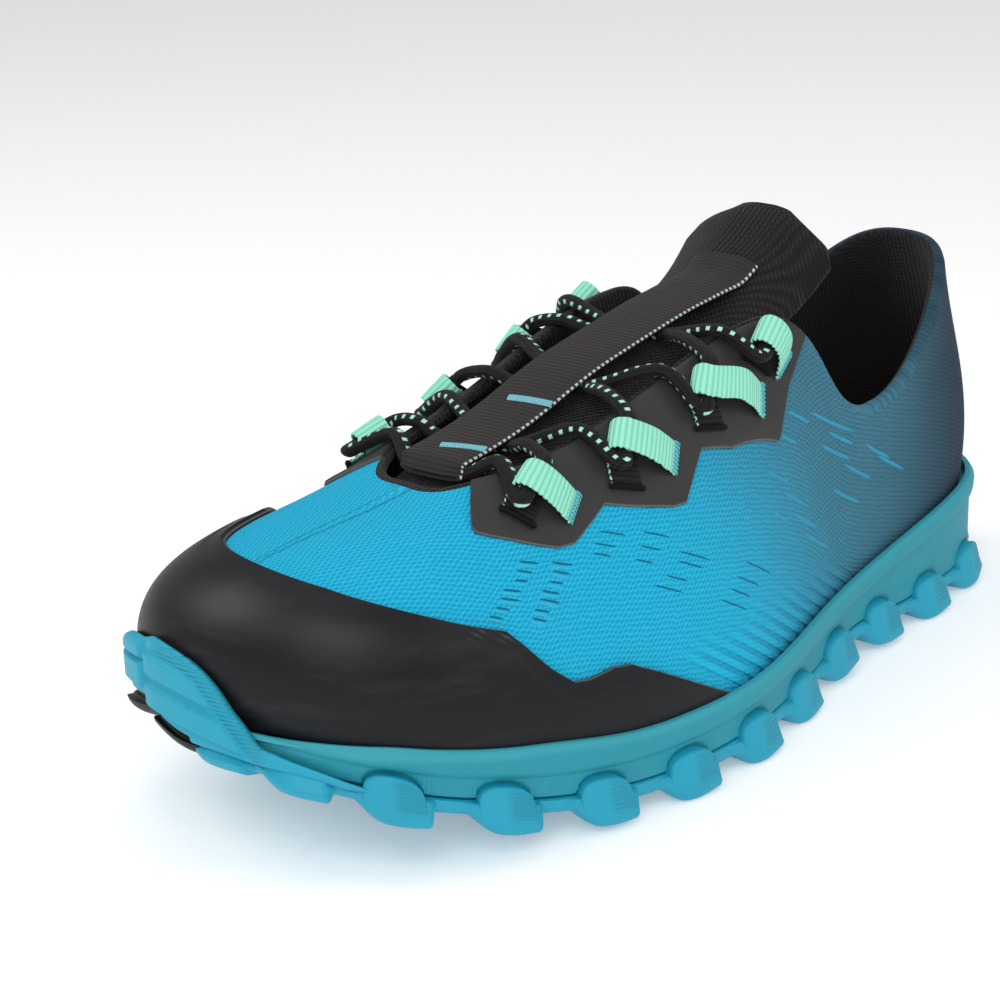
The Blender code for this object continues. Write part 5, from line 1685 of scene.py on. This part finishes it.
def lace_route(first_side):
    """Middle line of one half of the lace, zigzag from the bottom bar up to the last loop."""
    sides = [first_side, "medial" if first_side == "lateral" else "lateral"]
    route = [lace_centre(BAR_X, TONGUE_Y)]
    for k, row in enumerate(LOOPS):
        side = sides[k % 2]
        if k:
            edge, _ = on_upper(np.array([LOOPS[k - 1].fold_around]), np.ones(1))
            centre = lace_centre(float(edge[0, 0]) - CROSS_BEHIND, TONGUE_Y + CROSS_SIDE)
            under = [lace_beside(centre, route[-1]), centre] if side == "lateral" else [centre]
            route.append(0.5 * (route[-1] + under[0]) + np.array([0.0, 0.0, HEEL_RISE]))
            route += under
        through = lace_through(row, side, TOE_SWING if k else BAR_SWING, k < len(LOOPS) - 1)
        if k and side == "medial":
            route.append(lace_beside(centre, through[0]))
        elif not k:
            route.append(lace_centre(BAR_X, TONGUE_Y + (STRIP_HALF - 1.0) * (1 if side == "lateral" else -1)))
        route += through
    return smooth_path(route, 14)


def make_lace():
    """Both halves of the lace: an oval cord carried along its route without twisting."""
    sides = 20
    turn = np.linspace(0, TURN, sides, endpoint=False)
    paint = lace_paint()
    points = []
    marks = []
    faces = []
    for first_side in ("lateral", "medial"):
        path = lace_route(first_side)
        along = unit(np.gradient(path, axis=0))
        beside = unit(np.cross(along, np.array([-0.28, 0.0, 0.96])))
        over = np.cross(beside, along)
        run = run_length(path)
        slack = LACE_SLACK * np.cos(TURN * run / SLACK_RUN)
        wide = (LACE_RADIUS * LACE_WIDE + slack)[:, None, None]
        ring = (wide * np.cos(turn)[None, :, None] * beside[:, None]
                + LACE_RADIUS * LACE_FLAT * np.sin(turn)[None, :, None] * over[:, None])
        start = sum(len(part) for part in points)
        points.append((path[:, None] + ring).reshape(-1, 3))
        marks.append(joined(run[:, None], np.cos(turn)[None, :], np.sin(turn)[None, :]))
        faces += [tuple(start + i for i in face) for face in tube_faces(len(path), sides)]
    marks = np.concatenate([part.reshape(-1, 3) for part in marks])
    piece = add_piece("lace_cord", np.vstack(points), faces, [paint], {"braid": marks}, sharp=70.0)
    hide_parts("lace")
    return piece


def make_stage():
    """Pale floor, soft lights and the camera."""
    scene = bpy.context.scene
    mesh = bpy.data.meshes.new("floor")
    mesh.from_pydata([(-6, -6, 0), (6, -6, 0), (6, 6, 0), (-6, 6, 0)], [], [(0, 1, 2, 3)])
    mesh.materials.append(floor_paint())
    floor = bpy.data.objects.new("floor", mesh)
    scene.collection.objects.link(floor)
    world = bpy.data.worlds.new("studio")
    world.use_nodes = True
    sky = world.node_tree.nodes["Background"]
    sky.inputs["Color"].default_value = (1.0, 1.0, 1.0, 1.0)
    sky.inputs["Strength"].default_value = SKY
    scene.world = world
    scene.view_settings.view_transform = "Standard"
    for row in LIGHTS:
        light = bpy.data.lights.new(row.name, "AREA")
        light.shape = "DISK"
        light.size = row.size
        light.energy = row.power
        holder = bpy.data.objects.new(row.name, light)
        holder.location = row.at
        holder.rotation_euler = (Vector(row.aim) - Vector(row.at)).to_track_quat("-Z", "Y").to_euler()
        scene.collection.objects.link(holder)
    camera = bpy.data.objects.new("camera", bpy.data.cameras.new("camera"))
    camera.data.lens = CAMERA_LENS
    camera.data.sensor_width = 36.0
    aim = (Vector(CAMERA_AIM) - Vector(CAMERA_AT)).to_track_quat("-Z", "Y").to_matrix().to_4x4()
    camera.matrix_world = Matrix.Translation(CAMERA_AT) @ aim @ Matrix.Rotation(math.radians(CAMERA_ROLL), 4, "Z")
    scene.collection.objects.link(camera)
    scene.camera = camera


def colour_property(name, description, default):
    """A colour of the shoe."""
    return bpy.props.FloatVectorProperty(name=name, description=description, default=default, size=3,
                                         min=0.0, max=1.0, subtype="COLOR")


class ShoeColours(bpy.types.PropertyGroup):
    """Colours of the shoe's materials."""
    knit_high: colour_property("Knit, raised", "Face of the front knit", (0.018, 0.470, 0.730))
    knit_low: colour_property("Knit, deep", "Pits of the front knit", (0.006, 0.230, 0.410))
    slate_high: colour_property("Faded knit, raised", "Face of the faded knit", (0.058, 0.200, 0.280))
    slate_low: colour_property("Faded knit, deep", "Pits of the faded knit", (0.030, 0.105, 0.160))
    navy_high: colour_property("Rear knit, raised", "Face of the rear knit", (0.028, 0.055, 0.085))
    navy_low: colour_property("Rear knit, deep", "Pits of the rear knit", (0.010, 0.018, 0.032))
    slit: colour_property("Slits", "Dark slits and grooves in the knit", (0.004, 0.150, 0.280))
    bar_yarn: colour_property("Slit bars", "Raised bars between the slits", (0.035, 0.480, 0.720))
    float_yarn: colour_property("Floats", "Pale floats in the faded knit", (0.040, 0.330, 0.500))
    rand: colour_property("Toe rand", "Black film round the toe", (0.007, 0.007, 0.009))
    eyestay: colour_property("Eyestay", "Dark film beside the throat", (0.030, 0.029, 0.029))
    # Pale of the films' cut edge and marks, also used for their painted highlights
    film_edge: colour_property("Film pale and highlight", "Pale edge and marks of the films, and their painted highlight", (0.200, 0.190, 0.180))
    rubber_high: colour_property("Rubber, light", "Lighter rubber", (0.010, 0.350, 0.500))
    rubber_low: colour_property("Rubber, dark", "Darker rubber", (0.006, 0.290, 0.430))
    foam_high: colour_property("Foam, light", "Lighter foam", (0.014, 0.285, 0.365))
    foam_low: colour_property("Foam, dark", "Darker foam", (0.010, 0.240, 0.315))
    # Pale of the foam's rubbed spots, also used for the painted highlight along its top
    foam_scuff_and_highlight: colour_property("Foam scuff and highlight", "Rubbed spots and painted highlight on the foam", (0.050, 0.370, 0.440))
    mint: colour_property("Mint webbing", "Outer face of the loops", (0.300, 0.800, 0.610))
    mint_pale: colour_property("Pale yarn", "Specks and edge lines", (0.430, 0.800, 0.680))
    edge_yarn: colour_property("Strip stitching", "Stitches along the strip's edge", (0.460, 0.540, 0.510))
    tack: colour_property("Tack thread", "Bar tacks on the strip", (0.240, 0.560, 0.660))
    comb: colour_property("Comb thread", "Tack stitches on the loops", (0.130, 0.520, 0.600))
    strip: colour_property("Strip", "Webbing strip on the tongue", (0.026, 0.023, 0.022))
    black_high: colour_property("Black cloth, raised", "Raised yarns of black cloth", (0.016, 0.015, 0.015))
    black_low: colour_property("Black cloth, deep", "Between the yarns of black cloth", (0.004, 0.004, 0.004))


class ShoeSizes(bpy.types.PropertyGroup):
    """Sizes of the shoe's finish."""
    knit_pitch: bpy.props.FloatProperty(name="Knit pitch", description="Distance between pits of the knit",
                                        default=1.25 * MM, unit="LENGTH", precision=5)


class SHOE_OT_midsole(bpy.types.Operator):
    """Build the foam midsole"""
    bl_idname = "shoe.midsole"
    bl_label = "Midsole"

    def execute(self, context):
        make_midsole()
        return {"FINISHED"}


class SHOE_OT_outsole(bpy.types.Operator):
    """Build the rubber plate, its lugs and the toe bumper"""
    bl_idname = "shoe.outsole"
    bl_label = "Outsole"

    def execute(self, context):
        make_outsole()
        return {"FINISHED"}


class SHOE_OT_insole(bpy.types.Operator):
    """Build the foot bed"""
    bl_idname = "shoe.insole"
    bl_label = "Insole"

    def execute(self, context):
        make_insole()
        return {"FINISHED"}


class SHOE_OT_upper(bpy.types.Operator):
    """Build the knit upper with its slits and floats"""
    bl_idname = "shoe.upper"
    bl_label = "Upper"

    def execute(self, context):
        make_upper()
        make_dashes()
        return {"FINISHED"}


class SHOE_OT_overlays(bpy.types.Operator):
    """Build the toe rand and the eyestays"""
    bl_idname = "shoe.overlays"
    bl_label = "Film overlays"

    def execute(self, context):
        make_overlays()
        return {"FINISHED"}


class SHOE_OT_tongue(bpy.types.Operator):
    """Build the tongue and the webbing strip on it"""
    bl_idname = "shoe.tongue"
    bl_label = "Tongue"

    def execute(self, context):
        make_tongue()
        make_strip()
        return {"FINISHED"}


class SHOE_OT_loops(bpy.types.Operator):
    """Build the webbing loops and their tacks"""
    bl_idname = "shoe.loops"
    bl_label = "Lace loops"

    def execute(self, context):
        make_loops()
        return {"FINISHED"}


class SHOE_OT_lace(bpy.types.Operator):
    """Run the lace through the loops"""
    bl_idname = "shoe.lace"
    bl_label = "Lace"

    def execute(self, context):
        make_lace()
        return {"FINISHED"}


class SHOE_OT_stage(bpy.types.Operator):
    """Set the floor, lights and camera"""
    bl_idname = "shoe.stage"
    bl_label = "Stage"

    def execute(self, context):
        make_stage()
        return {"FINISHED"}


OPERATORS = (SHOE_OT_midsole, SHOE_OT_outsole, SHOE_OT_insole, SHOE_OT_upper, SHOE_OT_overlays, SHOE_OT_tongue,
             SHOE_OT_loops, SHOE_OT_lace, SHOE_OT_stage)


class SHOE_PT_pieces(bpy.types.Panel):
    """Sidebar panel with the shoe's colours and pieces"""
    bl_label = "Hiking shoe"
    bl_idname = "SHOE_PT_pieces"
    bl_space_type = "VIEW_3D"
    bl_region_type = "UI"
    bl_category = "Shoe"

    def draw(self, context):
        for group in (context.scene.shoe_sizes, context.scene.shoe_colours):
            for key in group.__annotations__:
                self.layout.prop(group, key)
        for operator in OPERATORS:
            self.layout.operator(operator.bl_idname)


CLASSES = (ShoeColours, ShoeSizes, *OPERATORS, SHOE_PT_pieces)


def register():
    """Registers the classes and hangs the property groups on the scene."""
    for cls in CLASSES:
        bpy.utils.register_class(cls)
    bpy.types.Scene.shoe_colours = bpy.props.PointerProperty(type=ShoeColours)
    bpy.types.Scene.shoe_sizes = bpy.props.PointerProperty(type=ShoeSizes)


def unregister():
    """Takes the property groups and the classes away again."""
    del bpy.types.Scene.shoe_sizes
    del bpy.types.Scene.shoe_colours
    for cls in reversed(CLASSES):
        bpy.utils.unregister_class(cls)


def main():
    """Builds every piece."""
    register()
    bpy.ops.shoe.midsole()
    bpy.ops.shoe.outsole()
    bpy.ops.shoe.insole()
    bpy.ops.shoe.upper()
    bpy.ops.shoe.overlays()
    bpy.ops.shoe.tongue()
    bpy.ops.shoe.loops()
    bpy.ops.shoe.lace()
    bpy.ops.shoe.stage()


if __name__ == "__main__":
    main()
